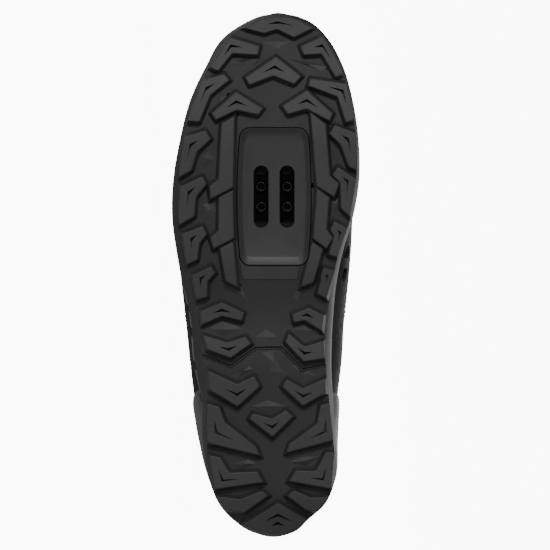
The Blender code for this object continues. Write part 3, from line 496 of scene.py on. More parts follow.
photo = {"soleWidth": 0.2966, "centre": (0.1410, 0.0, 0.003), "distance": 5.0, "sensor": 36.0,
         "clip": (0.05, 30)}


def addCamera():
    data = bpy.data.cameras.new("camera")
    camera = addObject("camera", data)
    data.sensor_width = photo["sensor"]
    data.lens = photo["sensor"] * photo["distance"] / photo["soleWidth"]
    data.clip_start, data.clip_end = photo["clip"]
    aim = toFrame @ Vector(photo["centre"])
    turnCamera = Matrix((medial, toe, -up)).transposed().to_4x4()
    camera.matrix_world = Matrix.Translation(aim - up * photo["distance"]) @ turnCamera
    bpy.context.scene.camera = camera


addCamera()


# Floor and soft light

studio = {"floorSize": 9.0, "floorColour": "f4f4f4", "floorRoughness": 0.9, "aim": (0.15, 0, 0.01),
          "seen": 10.0, "tableLight": 0.17, "tableStart": (-0.11, -0.06), "worldLight": 0.045}
# Soft boxes: place along the toe, medial and up axes from the shoe, size across and power.
softBoxes = [
    ("toeBox", (1.50, 0.16, -2.20), 0.50, 36.0),
    ("frontBox", (-0.70, 0.05, -1.80), 0.90, 7.0),
    ("sideBox", (0.10, 1.30, -0.25), 1.0, 3.0),
    ("backBox", (-0.30, 1.10, 1.20), 1.0, 10.0),
]


def seenStrength(tree, light=0.0, lit=None):
    # Brighter to the camera itself than the light that it sends out, a number or a socket.
    links = {0: addNode(tree, "ShaderNodeLightPath").outputs["Is Camera Ray"]}
    if lit:
        links[2] = lit
    inputs = {1: studio["seen"], 2: light}
    return addNode(tree, "ShaderNodeMath", {"operation": "MULTIPLY_ADD"}, inputs, links).outputs[0]


def addWorld():
    world = bpy.data.worlds.new("studio")
    bpy.context.scene.world = world
    world.use_nodes = True
    tree = world.node_tree
    background = tree.nodes["Background"]
    background.inputs["Color"].default_value = (1, 1, 1, 1)
    tree.links.new(seenStrength(tree, studio["worldLight"]), background.inputs["Strength"])


def addFloor():
    # Opal light table: matt white, lit from below behind the sole's plane, and overexposed to the camera.
    size = studio["floorSize"]
    mesh = bpy.data.meshes.new("floor")
    mesh.from_pydata([(-size, -size, 0), (size, -size, 0), (size, size, 0), (-size, size, 0)], [],
                     [(0, 1, 2, 3)])
    floor = addObject("floor", mesh)
    white = {"Emission Color": (1, 1, 1, 1)}
    material, tree, shader, place = startMaterial("opalTable", studio["floorColour"],
                                                  studio["floorRoughness"], white)
    split = addNode(tree, "ShaderNodeSeparateXYZ", links={"Vector": place})
    start, full = studio["tableStart"]
    inputs = {"From Min": start, "From Max": full, "To Max": studio["tableLight"]}
    lit = addNode(tree, "ShaderNodeMapRange", {}, inputs, {"Value": split.outputs["Y"]}).outputs["Result"]
    tree.links.new(seenStrength(tree, lit=lit), shader.inputs["Emission Strength"])
    mesh.materials.append(material)


def addLights():
    aim = toFrame @ Vector(studio["aim"])
    for name, (alongToe, alongMedial, alongUp), width, power in softBoxes:
        data = bpy.data.lights.new(name, "AREA")
        data.energy = power
        data.size = width
        offset = toe * alongToe + medial * alongMedial + up * alongUp
        facing = (-offset).to_track_quat("-Z", "Y").to_matrix().to_4x4()
        addObject(name, data).matrix_world = Matrix.Translation(aim + offset) @ facing


addWorld()
addFloor()
addLights()
print("camera and studio ready")


# Outsole: the rubber cup with its lugs

# Chevron lugs: tip, apex and tip of the outer edge, then tip, crook and tip of the inner edge.
chevrons = [
    ((0.898, -0.339), (0.955, -0.238), (0.938, -0.085), (0.923, -0.095), (0.926, -0.228), (0.892, -0.302)),
    ((0.889, 0.365), (0.957, 0.254), (0.938, 0.138), (0.923, 0.153), (0.925, 0.249), (0.880, 0.323)),
    ((0.878, -0.153), (0.917, 0.005), (0.880, 0.135), (0.867, 0.101), (0.883, -0.008), (0.865, -0.135)),
    ((0.796, -0.466), (0.871, -0.386), (0.884, -0.270), (0.873, -0.246), (0.845, -0.344), (0.794, -0.402)),
    ((0.799, 0.421), (0.865, 0.386), (0.875, 0.190), (0.863, 0.180), (0.842, 0.333), (0.793, 0.376)),
    ((0.809, -0.331), (0.849, -0.206), (0.818, -0.069), (0.808, -0.090), (0.817, -0.204), (0.798, -0.312)),
    ((0.808, 0.302), (0.852, 0.169), (0.823, 0.042), (0.809, 0.069), (0.819, 0.169), (0.796, 0.286)),
    ((0.687, -0.511), (0.762, -0.484), (0.775, -0.370), (0.760, -0.344), (0.736, -0.415), (0.701, -0.444)),
    ((0.595, -0.513), (0.668, -0.497), (0.687, -0.386), (0.674, -0.365), (0.649, -0.421), (0.613, -0.429)),
    ((0.521, -0.466), (0.578, -0.487), (0.592, -0.384), (0.578, -0.365), (0.561, -0.402), (0.530, -0.413)),
    ((0.454, -0.413), (0.499, -0.434), (0.515, -0.339), (0.504, -0.320), (0.488, -0.360), (0.459, -0.362)),
    ((0.702, 0.431), (0.770, 0.429), (0.785, 0.317), (0.770, 0.291), (0.750, 0.349), (0.708, 0.392)),
    ((0.614, 0.394), (0.682, 0.426), (0.705, 0.333), (0.691, 0.307), (0.677, 0.347), (0.628, 0.352)),
    ((0.535, 0.333), (0.588, 0.381), (0.601, 0.315), (0.586, 0.296), (0.574, 0.315), (0.540, 0.288)),
    ((0.457, 0.270), (0.507, 0.312), (0.513, 0.259), (0.497, 0.243), (0.490, 0.246), (0.465, 0.225)),
    ((0.430, -0.392), (0.446, -0.280), (0.427, -0.169), (0.414, -0.177), (0.423, -0.280), (0.407, -0.384)),
    ((0.422, 0.254), (0.436, 0.180), (0.424, 0.095), (0.411, 0.103), (0.415, 0.159), (0.395, 0.246)),
    ((0.359, -0.357), (0.343, -0.235), (0.369, -0.132), (0.381, -0.156), (0.370, -0.254), (0.383, -0.373)),
    ((0.342, 0.259), (0.336, 0.153), (0.372, 0.058), (0.386, 0.074), (0.362, 0.156), (0.373, 0.254)),
    ((0.282, -0.344), (0.250, -0.198), (0.287, -0.085), (0.305, -0.111), (0.290, -0.201), (0.315, -0.349)),
    ((0.275, 0.265), (0.252, 0.148), (0.287, 0.042), (0.299, 0.063), (0.282, 0.148), (0.301, 0.265)),
    ((0.226, -0.132), (0.192, -0.013), (0.229, 0.090), (0.240, 0.058), (0.224, -0.016), (0.234, -0.116)),
    ((0.253, -0.357), (0.181, -0.365), (0.157, -0.087), (0.171, -0.103), (0.217, -0.265), (0.247, -0.296)),
    ((0.255, 0.294), (0.186, 0.312), (0.162, 0.066), (0.176, 0.077), (0.215, 0.225), (0.250, 0.243)),
    ((0.154, -0.344), (0.092, -0.317), (0.105, -0.066), (0.123, -0.095), (0.121, -0.243), (0.150, -0.291)),
    ((0.160, 0.310), (0.093, 0.296), (0.107, 0.079), (0.125, 0.111), (0.124, 0.217), (0.160, 0.270)),
    ((0.076, -0.307), (0.070, -0.185), (0.086, -0.069), (0.078, -0.042), (0.047, -0.164), (0.053, -0.259)),
    ((0.075, 0.280), (0.073, 0.190), (0.087, 0.101), (0.078, 0.069), (0.051, 0.169), (0.049, 0.228)),
]
plainChevrons = (26, 27)  # the two beside the heel tip have no sipe
# Toe and heel blocks with their own V sipes (tip, apex, tip), and the rails beside the window.
blocks = [
    ([(0.974, -0.150), (0.965, -0.058), (0.973, 0.011), (0.957, 0.101), (0.974, 0.193), (0.988, 0.128),
      (0.994, 0.069), (0.994, -0.016), (0.988, -0.085)],
     [((0.9809, -0.042), (0.9855, 0.016), (0.978, 0.100))]),
    ([(0.022, -0.165), (0.063, 0.016), (0.029, 0.170), (0.016, 0.127), (0.007, 0.058), (0.005, -0.016),
      (0.009, -0.090)],
     [((0.0277, -0.058), (0.0430, 0.016), (0.0277, 0.095)),
      ((0.0205, -0.021), (0.0268, 0.016), (0.0200, 0.053))]),
    ([(0.789, -0.280), (0.802, -0.217), (0.668, -0.225), (0.647, -0.339), (0.670, -0.344),
      (0.682, -0.296)], []),
    ([(0.647, -0.294), (0.660, -0.225), (0.571, -0.220), (0.552, -0.323), (0.571, -0.339),
      (0.584, -0.296)], []),
    ([(0.550, -0.288), (0.562, -0.224), (0.479, -0.201), (0.489, -0.258)], []),
    ([(0.809, 0.190), (0.787, 0.265), (0.689, 0.288), (0.674, 0.336), (0.651, 0.312), (0.671, 0.222)], []),
    ([(0.663, 0.224), (0.647, 0.283), (0.586, 0.270), (0.571, 0.302), (0.552, 0.272), (0.570, 0.205)], []),
    ([(0.561, 0.198), (0.548, 0.249), (0.487, 0.201), (0.479, 0.143)], []),
]

tread = {
    "edge": 0.0006,        # rounding of a lug's ground edge
    "corner": 0.0007,      # rounding of its corners in plan
    "sideInset": 0.0001,   # from the base's rim in to the lugs' outer ends
    "foot": 0.0004,        # where a lug's sides turn down into the base
    "rooted": 0.0009,      # how far a lug goes into the base
    "sunk": 0.0008,        # how far a facet or step goes into the base
    "skin": 0.00005,       # how far its rim lies under the base
    "clip": (-0.005, 0.06),  # heights of the prism that the lugs' outer ends are cut to
    "sideStep": 0.006,     # points along a lug's sides
    "sipeShare": 0.46,     # how far a sipe's arms reach along the lug's arms
    "sipeWidth": 0.0012,   # across the V at its apex
    "sipeDepth": 0.0036,
    "sipeTaper": 0.95,     # its floor's size as a share of its mouth's
    "sideRings": 8,        # rings up the rubber's side
    "rimInset": 0.0004,    # rounding of the rubber's top edge
    "rimLift": 0.00025,
    "across": 40,          # steps across the base
    "insideAcross": 12,    # and across its inside
    "creaseAngle": 11,     # degrees between faces from which an edge stays crisp
}
# The window bows outwards at its sides: barrel is the share of its width lost at its ends.
window = {"centre": (0.1833, -0.0005), "length": 0.0750, "width": 0.0408, "corner": 0.0058, "barrel": 0.095}
# Low facets moulded into the base between the lugs: corners, peak and the peak's height.
facets = [
    ([(0.396, -0.354), (0.418, -0.280), (0.396, -0.169), (0.382, -0.270)], (0.396, -0.264), 0.00144),
    ([(0.395, 0.090), (0.412, 0.148), (0.393, 0.254), (0.378, 0.164)], (0.395, 0.169), 0.00144),
    ([(0.382, -0.106), (0.397, -0.048), (0.382, 0.016), (0.369, -0.048)], (0.382, -0.042), 0.00080),
    ([(0.248, -0.132), (0.261, -0.037), (0.249, 0.058), (0.234, -0.037)], (0.249, -0.037), 0.00128),
    ([(0.307, -0.243), (0.326, -0.137), (0.320, -0.111), (0.301, -0.206)], (0.317, -0.169), 0.00096),
    ([(0.326, 0.085), (0.330, 0.111), (0.305, 0.233), (0.297, 0.148)], (0.313, 0.153), 0.00096),
    ([(0.139, -0.238), (0.148, -0.143), (0.139, -0.095), (0.127, -0.185)], (0.139, -0.164), 0.00112),
    ([(0.141, 0.069), (0.152, 0.132), (0.154, 0.238), (0.135, 0.164)], (0.144, 0.148), 0.00112),
    ([(0.353, -0.074), (0.357, -0.011), (0.311, 0.058), (0.313, -0.026)], (0.334, -0.011), 0.00064),
    ([(0.947, -0.069), (0.959, 0.005), (0.947, 0.079), (0.934, 0.011)], (0.948, 0.005), 0.00080),
    ([(0.902, -0.243), (0.911, -0.222), (0.919, -0.069), (0.900, -0.148)], (0.908, -0.169), 0.00096),
    ([(0.915, 0.069), (0.911, 0.159), (0.900, 0.296), (0.890, 0.248)], (0.903, 0.174), 0.00096),
    ([(0.816, -0.333), (0.842, -0.291), (0.844, -0.233), (0.821, -0.280)], (0.831, -0.285), 0.00080),
    ([(0.726, -0.391), (0.737, -0.349), (0.720, -0.317), (0.703, -0.386)], (0.722, -0.359), 0.00096),
    ([(0.634, -0.386), (0.645, -0.333), (0.621, -0.307), (0.598, -0.370)], (0.624, -0.349), 0.00096),
    ([(0.657, 0.285), (0.643, 0.354), (0.615, 0.328), (0.628, 0.285)], (0.636, 0.312), 0.00096),
    ([(0.487, -0.291), (0.492, -0.227), (0.477, -0.174), (0.450, -0.148)], (0.477, -0.211), 0.00080),
    ([(0.490, 0.148), (0.485, 0.180), (0.448, 0.122), (0.458, 0.090)], (0.471, 0.137), 0.00080),
    ([(0.882, -0.180), (0.917, -0.069), (0.924, -0.037), (0.900, -0.090)], (0.907, -0.095), 0.00056),
]
# The low step below the window, and the groove across the heel breast.
waistStep = {"corners": [(0.5249, -0.185), (0.4924, -0.169), (0.4924, 0.116), (0.5249, 0.132)],
             "height": 0.0004, "slope": 0.0007}
breastGroove = {"line": [(0.3461, -0.386), (0.3251, -0.235), (0.3595, -0.100), (0.3604, 0.032),
                         (0.3184, 0.145), (0.3279, 0.270)], "width": 0.0019, "floor": 0.0005,
                "depth": 0.0015}


def polygonArea(points):
    x, y = np.asarray(points).T
    return np.sum(x * np.roll(y, -1) - np.roll(x, -1) * y) / 2


def grown(corners, distance):
    ahead = unit(np.roll(corners, -1, axis=0) - corners)
    normals = np.column_stack([ahead[:, 1], -ahead[:, 0]]) * np.sign(polygonArea(corners))
    before = np.roll(normals, 1, axis=0)
    reach = 1 + np.sum(normals * before, axis=1)
    return corners + (normals + before) * (distance / np.maximum(reach, 0.35))[:, None]


def softCorners(corners, radius, inserts, steps=3):
    # Each corner becomes a short curve from side to side, with inserts[k] points on the side after it.
    curves, points = [], []
    for k, corner in enumerate(corners):
        start, end = (corner + unit(way) * min(radius, np.linalg.norm(way) * 0.4)
                      for way in (corners[k - 1] - corner, corners[(k + 1) % len(corners)] - corner))
        curves.append([start * (1 - t) ** 2 + corner * 2 * t * (1 - t) + end * t * t
                       for t in np.linspace(0, 1, steps)])
    for k, curve in enumerate(curves):
        start, end = curve[-1], curves[(k + 1) % len(curves)][0]
        points += curve
        points += [start + (end - start) * (n + 1) / (inserts[k] + 1) for n in range(inserts[k])]
    return np.array(points)


def sipeOutline(tipA, apex, tipB, width):
    # A V that is widest at its apex and runs out to points; its inner corner lies towards the crook.
    crook = unit((tipA + tipB) / 2 - apex)
    return np.array([tipA, apex - crook * width * 0.35, tipB, apex + crook * width])


def addLug(bm, corners, sipes):
    scaled = inMetres(corners)
    if polygonArea(scaled) < 0:
        scaled = scaled[::-1]
    edge = tread["edge"]
    # How far a ring lies out from the lug's outline, and how far above the ground.
    steps = [(-edge * 0.4, 0.0), (edge * 0.4, edge * 0.25), (edge * 0.7, edge),
             (shape["lugDraft"], shape["lugDepth"] - tread["foot"])]
    sides = np.linalg.norm(np.roll(scaled, -1, axis=0) - scaled, axis=1)
    inserts = [int(side / tread["sideStep"]) for side in sides]
    loops = [softCorners(grown(scaled, out), tread["corner"], inserts) for out, _ in steps]
    rings = [addRing(bm, loop, above(treadHeight, lift)) for loop, (_, lift) in zip(loops, steps)]
    rings.append(addRing(bm, loops[-1], above(baseHeight, tread["rooted"])))
    joinRings(bm, rings)
    bm.faces.new(rings[-1])
    borders = [rings[0]]
    for sipe in sipes:
        mouth = sipeOutline(*inMetres(sipe), tread["sipeWidth"])
        bottom = mouth.mean(axis=0) + (mouth - mouth.mean(axis=0)) * tread["sipeTaper"]
        upper = addRing(bm, mouth, treadHeight)
        lower = addRing(bm, bottom, above(treadHeight, tread["sipeDepth"]))
        joinRings(bm, [upper, lower])
        bm.faces.new(lower)
        borders.append(upper)
    edges = []
    for border in borders:
        for a, b in zip(border, border[1:] + border[:1]):
            edges.append(bm.edges.get((a, b)) or bm.edges.new((a, b)))
    bmesh.ops.triangle_fill(bm, use_beauty=True, use_dissolve=False, edges=edges)


def addFacet(bm, corners, peak, height):
    # A low pyramid on the base; its rim lies just inside the rubber.
    rim, (x, y) = inMetres(corners), inMetres(peak)
    low, edge = (addRing(bm, rim, above(baseHeight, tread[key])) for key in ("sunk", "skin"))
    tip = bm.verts.new((x, y, baseHeight(x) - height))
    bm.faces.new(low)
    joinRings(bm, [low, edge])
    for a, b in zip(edge, edge[1:] + edge[:1]):
        bm.faces.new((a, b, tip))


def addStep(bm, corners, height, slope):
    scaled = inMetres(corners)
    foot = grown(scaled, slope)
    addSolid(bm, [(scaled, above(baseHeight, -height)), (foot, above(baseHeight, tread["skin"])),
                  (foot, above(baseHeight, tread["sunk"]))])


def addGroove(bm, line, width, floor, depth):
    # A wedge along the line that cuts a groove into the base.
    spine = inMetres(line)
    ahead = unit(np.diff(spine, axis=0))
    sides = np.column_stack([ahead[:, 1], -ahead[:, 0]])
    before, after = np.vstack([sides[:1], sides]), np.vstack([sides, sides[-1:]])
    miter = (before + after) / (1 + np.sum(before * after, axis=1))[:, None]
    rings = []
    for reach, lift in ((width * 0.75, -width / 2), (width / 2, 0.0), (floor / 2, depth)):
        loop = np.vstack([spine + miter * reach, (spine - miter * reach)[::-1]])
        rings.append(addRing(bm, loop, above(baseHeight, lift)))
    joinRings(bm, rings)
    count = len(rings[0])
    for ring in (rings[0], rings[-1]):
        for k in range(len(spine) - 1):
            bm.faces.new((ring[k], ring[k + 1], ring[count - 2 - k], ring[count - 1 - k]))


def chevronSipe(corners):
    tipA, apex, tipB, backB, crook, backA = np.array(corners)
    middle = apex + (crook - apex) * 0.5
    ends = [middle + ((tip + back) / 2 - middle) * tread["sipeShare"]
            for tip, back in ((tipA, backA), (tipB, backB))]
    return ends[0], middle, ends[1]


def roundedRectangle(centre, length, width, corner, arcSteps=8):
    points = []
    for quarter, (signX, signY) in enumerate([(1, 1), (-1, 1), (-1, -1), (1, -1)]):
        for k in range(arcSteps + 1):
            angle = math.pi / 2 * (quarter + k / arcSteps)
            points.append((centre[0] + signX * (length / 2 - corner) + corner * math.cos(angle),
                           centre[1] + signY * (width / 2 - corner) + corner * math.sin(angle)))
    return np.array(points)


def windowLoop(shrinkLong, shrinkWide, corner):
    # The window's outline, made smaller by so much at its ends and sides.
    (x, y), length, width = window["centre"], window["length"], window["width"]
    square = roundedRectangle((0, 0), length - 2 * shrinkLong, width - 2 * shrinkWide, corner)
    points = []
    for k, point in enumerate(square):
        following = square[(k + 1) % len(square)]
        steps = 12 if np.linalg.norm(following - point) > length / 2 else 1
        points += [point + (following - point) * n / steps for n in range(steps)]
    points = np.array(points)
    points[:, 1] *= 1 - window["barrel"] * (2 * points[:, 0] / length) ** 2
    return points + (x, y)


def crossGrid(loop, columns, height):
    # Points over the inside of a loop: half + 1 rows from heel to toe, medial to lateral.
    left, right = loop[:half + 1], loop[-np.arange(half + 1) % around]
    steps = np.arange(columns + 1)[None, :, None]
    points = (left[:, None] + (right - left)[:, None] * steps / columns).reshape(-1, 2)
    return np.column_stack([points, height(points[:, 0])])


def crossFaces(start, columns):
    # Strips between the rows of such a grid.
    corners = [start + i * (columns + 1) + c for i in range(half) for c in range(columns)]
    return [(a, a + 1, a + columns + 2, a + columns + 1) for a in corners]


def soleShell(name, rings, closers, materials):
    # Rings up the side, closed below and above by grids of strips. A second material goes below.
    vertices = list(np.vstack(rings))
    faces = ringFaces(len(rings), around)
    indices = [0] * len(faces)
    for (loop, columns, height), index in zip(closers, (len(materials) - 1, 0)):
        strips = crossFaces(len(vertices), columns)
        vertices += list(crossGrid(loop, columns, height))
        faces += strips
        indices += [index] * len(strips)
    return newPiece(name, vertices, faces, materials, "shoe", indices=indices, merge=0.00002)


def addTread():
    # Everything that stands out of the base, cut off at its rim.
    bm = bmesh.new()
    for k, corners in enumerate(chevrons):
        addLug(bm, corners, [] if k in plainChevrons else [chevronSipe(corners)])
    for corners, sipes in blocks:
        addLug(bm, corners, sipes)
    for corners, peak, height in facets:
        addFacet(bm, corners, peak, height)
    addStep(bm, **waistStep)
    lugs = bareObject("lugs", bm)
    lugs.data.materials.append(outsoleRubber)
    bm = bmesh.new()
    edge = inset(treadLoop, tread["sideInset"])
    addSolid(bm, [(edge, height) for height in tread["clip"]])
    cutWith(lugs, bareObject("edge", bm), "INTERSECT")
    return lugs


def buildOutsole():
    rim, slab = shape["rimWall"], shape["treadSlab"]
    inner = inset(sidePlan(slab / (featherZ - baseZ)), rim)
    shares = [rubberShare * k / tread["sideRings"] for k in range(1, tread["sideRings"] + 1)]
    rings = [raised(sidePlan(0), baseZ)] + [raised(sidePlan(share), sideHeight(share)) for share in shares]
    for reach in (tread["rimInset"], rim):
        rings.append(raised(inset(sidePlan(rubberShare), reach), sideHeight(rubberShare) + tread["rimLift"]))
    rings.append(onBase(inner, slab))
    closers = [(treadLoop, tread["across"], baseHeight),
               (inner, tread["insideAcross"], above(baseHeight, slab))]
    # The base between the lugs gets the darker rubber: painted shade.
    outsole = soleShell("outsoleRubber", rings, closers, [outsoleRubber, shadedRecessRubber])
    cutWith(outsole, addTread(), "UNION")
    bm = bmesh.new()
    addGroove(bm, **breastGroove)
    opening = windowLoop(0, 0, window["corner"])
    addSolid(bm, [(opening, -0.01), (opening, shape["ballStack"])])
    cutWith(outsole, bareObject("opening", bm))
    shade(outsole.data, tread["creaseAngle"])
    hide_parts("outsole")


buildOutsole()
print("outsole ready")


# Cleat plate and nut

plate = {"sunk": 0.0002, "thickness": 0.0040, "edgeGap": 0.0005, "lip": 0.0005, "slopeEnds": 0.0036,
         "slopeSides": 0.0021, "recess": 0.0016, "bevel": 0.0003, "slotLength": 0.0332,
         "slotWidth": 0.0076, "boltSpacing": 0.0140, "boltRows": 0.0109}
nut = {"length": 0.0240, "width": 0.0260, "thickness": 0.0020, "corner": 0.0030, "bevel": 0.0003,
       "bossOuter": 0.0059, "bossShort": 0.0006, "bore": 0.0043, "pitch": 0.0008, "threadDepth": 0.00022}


def pieceFrom(bm, name, materials, body):
    bmesh.ops.remove_doubles(bm, verts=bm.verts, dist=0.00001)
    return dress(bareObject(name, bm), materials, body, 35)


def buildPlate():
    low = float(baseHeight(window["centre"][0])) + plate["sunk"]
    high, pan = low + plate["thickness"], low + plate["recess"]
    lip, bevel, edgeGap = plate["lip"], plate["bevel"], plate["edgeGap"]
    corner = window["corner"] - edgeGap
    ends, sides = lip + plate["slopeEnds"], lip + plate["slopeSides"]
    # How far in from the plate's ends and sides, share of its corner radius, and height.
    steps = [(ends + 0.0004, sides + 0.0004, 0.80, pan), (ends, sides, 0.82, pan - 0.0001),
             (lip + bevel, lip + bevel, 0.95, low + 0.0002), (lip, lip, 0.97, low),
             (bevel, bevel, 1, low), (0, 0, 1, low + bevel), (0, 0, 1, high)]
    bm = bmesh.new()
    addSolid(bm, [(windowLoop(edgeGap + a, edgeGap + b, corner * share), height)
                  for a, b, share, height in steps])
    piece = pieceFrom(bm, "cleatPlateNylon", [plateNylon], "shoe")
    # How much wider the slots are at each height, with their edges rounded.
    steps = [(0.0008, pan - 0.0004), (0.0002, pan + 0.0001), (0, pan + 0.0004), (0, high + 0.001)]
    bm = bmesh.new()
    for side in (-1, 1):
        centre = (window["centre"][0], window["centre"][1] + side * plate["boltSpacing"] / 2)
        levels = []
        for extra, height in steps:
            length, width = plate["slotLength"] + 2 * extra, plate["slotWidth"] + 2 * extra
            levels.append((roundedRectangle(centre, length, width, width / 2), height))
        addSolid(bm, levels)
    cutWith(piece, bareObject("slots", bm))
    shade(piece.data, 35)
    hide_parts("cleat_plate")
    return high


def buildNut(low):
    centre, bevel = window["centre"], nut["bevel"]
    high = low + nut["thickness"]
    bossLow = low + plate["recess"] + nut["bossShort"] - plate["thickness"] - gap
    levels = []
    for shrink, height in ((bevel, low), (0, low + bevel), (0, high - bevel), (bevel, high)):
        length, width = nut["length"] - 2 * shrink, nut["width"] - 2 * shrink
        levels.append((roundedRectangle(centre, length, width, nut["corner"] - shrink), height))
    bm, bosses, bores = bmesh.new(), bmesh.new(), bmesh.new()
    addSolid(bm, levels)
    boss, bore, pitch = nut["bossOuter"] / 2, nut["bore"] / 2, nut["pitch"]
    bossSteps = [(boss + 0.0002, low + 0.0004), (boss + 0.0002, low), (boss, low - 0.0002),
                 (boss, bossLow + bevel), (boss - bevel, bossLow)]
    boreSteps = [(bore + 0.0006, bossLow - 0.0003), (bore, bossLow + 0.0003)]
    threadStart, threadEnd = bossLow + 0.0004, high - 0.0004
    for k in range(int((threadEnd - threadStart) / pitch)):
        z = threadStart + k * pitch
        boreSteps += [(bore + nut["threadDepth"], z + pitch * 0.5), (bore, z + pitch)]
    boreSteps.append((bore, high + 0.0005))
    for signX in (-1, 1):
        for signY in (-1, 1):
            middle = (centre[0] + signX * plate["boltRows"] / 2, centre[1] + signY * plate["boltSpacing"] / 2)
            for target, steps in ((bosses, bossSteps), (bores, boreSteps)):
                addSolid(target, [(roundedRectangle(middle, 2 * radius, 2 * radius, radius), z)
                                  for radius, z in steps])
    # The near-black body is painted shade in the slots.
    piece = pieceFrom(bm, "cleatNutSteel", [nutShadeSteel], "nut")
    cutWith(piece, bareObject("bosses", bosses), "UNION")
    cutWith(piece, bareObject("bores", bores), lining=bareSteel)
    shade(piece.data, 35)
    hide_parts("cleat_nut")


plateTop = buildPlate()
buildNut(plateTop + gap)
print("cleat plate and nut ready")


# Midsole: the foam band that shows above the rubber

midsole = {"bead": 0.0007, "rounding": 0.0004, "line": 0.00035, "lineAt": 0.80, "lineWidth": 0.05,
           "dents": [0.437, 0.389, 0.330, 0.263], "dentShare": 0.47, "dentDepth": 0.0013,
           "dentSize": (0.0056, 0.0034)}


def addPlug(bm, rim, point, out, levels):
    # A body across a wall: the rim, moved out and spread by each of two levels, and closed.
    rings = [[bm.verts.new(point + out * depth + corner * spread) for corner in rim]
             for depth, spread in levels]
    joinRings(bm, rings)
    bm.faces.new(rings[0])
    bm.faces.new(rings[1])


def addDent(bm, station):
    # A slanted pocket in the lateral side of the band.
    plan, heights = sidePlan(midsole["dentShare"]), sideHeight(midsole["dentShare"])
    k = min(range(half, around), key=lambda i: abs(plan[i, 0] - station * shoeLength))
    out = np.append(-inward(plan)[k], 0)
    length, height = midsole["dentSize"]
    run = np.cross((0, 0, 1), out)
    slant = np.array((0, 0, height / 2)) + run * height / 3
    run = run * length / 2
    depth = midsole["dentDepth"]
    addPlug(bm, [-run - slant, run - slant, run + slant, -run + slant], np.append(plan[k], heights[k]), out,
            ((-depth, 0.8), (3 * depth, 1.15)))


def buildMidsole():
    rim, slab, rounding = shape["rimWall"], shape["treadSlab"], midsole["rounding"]
    inside = inset(sidePlan((slab + gap) / (featherZ - baseZ)), rim + gap)
    stepZ = sideHeight(rubberShare) + 0.0005
    rings = [onBase(inside, slab + gap)]
    for reach, lift in ((rim + gap, 0), (midsole["bead"], 0), (0.0001, rounding)):
        rings.append(raised(inset(sidePlan(rubberShare), reach), stepZ + lift))
    for t in np.linspace(0.12, 0.94, 10):
        share = rubberShare + (1 - rubberShare) * t
        groove = midsole["line"] * math.exp(-((t - midsole["lineAt"]) / midsole["lineWidth"]) ** 2)
        rings.append(raised(inset(sidePlan(share), groove), stepZ + (featherZ - stepZ) * t))
    rings.append(raised(inset(featherLoop, 0.0003), featherZ - rounding / 2))
    rings.append(raised(inset(featherLoop, 0.0012), featherZ))
    edge = inset(featherLoop, shape["lastingMargin"] + gap)
    top = gap + shape["upperWall"]
    rings += [onSeat(edge), onSeat(edge, top)]
    closers = [(inside, tread["insideAcross"], above(baseHeight, slab + gap)),
               (edge, tread["insideAcross"], above(seatHeight, top))]
    piece = soleShell("midsoleFoam", rings, closers, [midsoleFoam])
    bm = bmesh.new()
    for station in midsole["dents"]:
        addDent(bm, station)
    # The dents' walls get the darker rubber: painted shade inside them.
    cutWith(piece, bareObject("dents", bm), lining=shadedRecessRubber)
    bm = bmesh.new()
    opening = windowLoop(0, 0, window["corner"])
    addSolid(bm, [(opening, 0.0), (opening, plateTop + 0.0032)])
    # The pocket's walls are near black: painted shade in the slots.
    cutWith(piece, bareObject("pocket", bm), lining=pocketShadeLining)
    shade(piece.data, 38)
    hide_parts("midsole")


buildMidsole()
print("midsole ready")


# Upper: one lasted shell. Rows run up the outside from the feather edge to the top line.

lowSteps, wallSteps, bandSteps = 8, 30, 6
stepRow = lowSteps + wallSteps + 1


def topLoop():
    # The top line and its lean, index for index with the outline.
    shares = np.arange(half) / half
    rows = np.array(topLine)
    both = np.vstack([rows, (rows * (-1, 1, -1, 1, 1) + (2, 0, 0, 0, 0))[-2:0:-1]])
    read = spline(both[:, 1:], both[:, 0], np.concatenate([shares, shares + 1]), 2.0)
    x = read[:, 0] * shape["throatFront"]
    y = read[:, 1] * shape["collarHalfWidth"]
    z = shape["throatHeight"] + (shape["collarHeight"] - shape["throatHeight"]) * read[:, 2]
    rear = 1 - smoothStep((read[:, 0] - 0.4) / 0.2)
    z = z - shape["lateralDrop"] * rear * smoothStep(-y / shape["collarHalfWidth"])
    return np.column_stack([x, y, z]), np.radians(read[:, 3])


def bezier(points, at):
    a, b, c, d = points
    at = np.asarray(at)[:, None]
    return a * (1 - at) ** 3 + 3 * b * at * (1 - at) ** 2 + 3 * c * at * at * (1 - at) + d * at ** 3


def lastSurface():
    bottom = raised(featherLoop, featherZ + gap)
    lift = byStation(2, soleLoop[:, 0]) * shape["heelStack"]
    widest = raised(widestLoop, featherZ + lift)
    top, slope = topLoop()
    out = unit(widest[:, :2] - top[:, :2])
    reach = np.linalg.norm(widest - top, axis=1)
    lean = np.column_stack([out * np.cos(slope)[:, None], -np.sin(slope)])
    upward = np.array([0, 0, 1.0])
    grid = [bottom]
    flare = bottom + (widest - bottom) * (0.75, 0.75, 0.18)
    under = widest - upward * lift[:, None] * 0.45
    for k in range(1, lowSteps + 1):
        grid.append(bezier((bottom, flare, under, widest), np.full(around, k / lowSteps)))
    handle = upward * (reach * byStation(3, soleLoop[:, 0]))[:, None]
    approach = top + lean * (reach * 0.42)[:, None]
    edge = 1 - shape["bandWidth"] / reach
    stations = [edge * k / wallSteps for k in range(1, wallSteps + 1)]
    stations += [edge + 0.0006 / reach]
    stations += [edge + (1 - edge) * k / bandSteps for k in range(1, bandSteps + 1)]
    grid += [bezier((widest, widest + handle, approach, top), at) for at in stations]
    return np.array(grid)


def surfaceNormals(grid):
    along = np.roll(grid, -1, axis=1) - np.roll(grid, 1, axis=1)
    across = np.concatenate([grid[1:2] - grid[:1], grid[2:] - grid[:-2], grid[-1:] - grid[-2:-1]])
    return unit(np.cross(across, along))


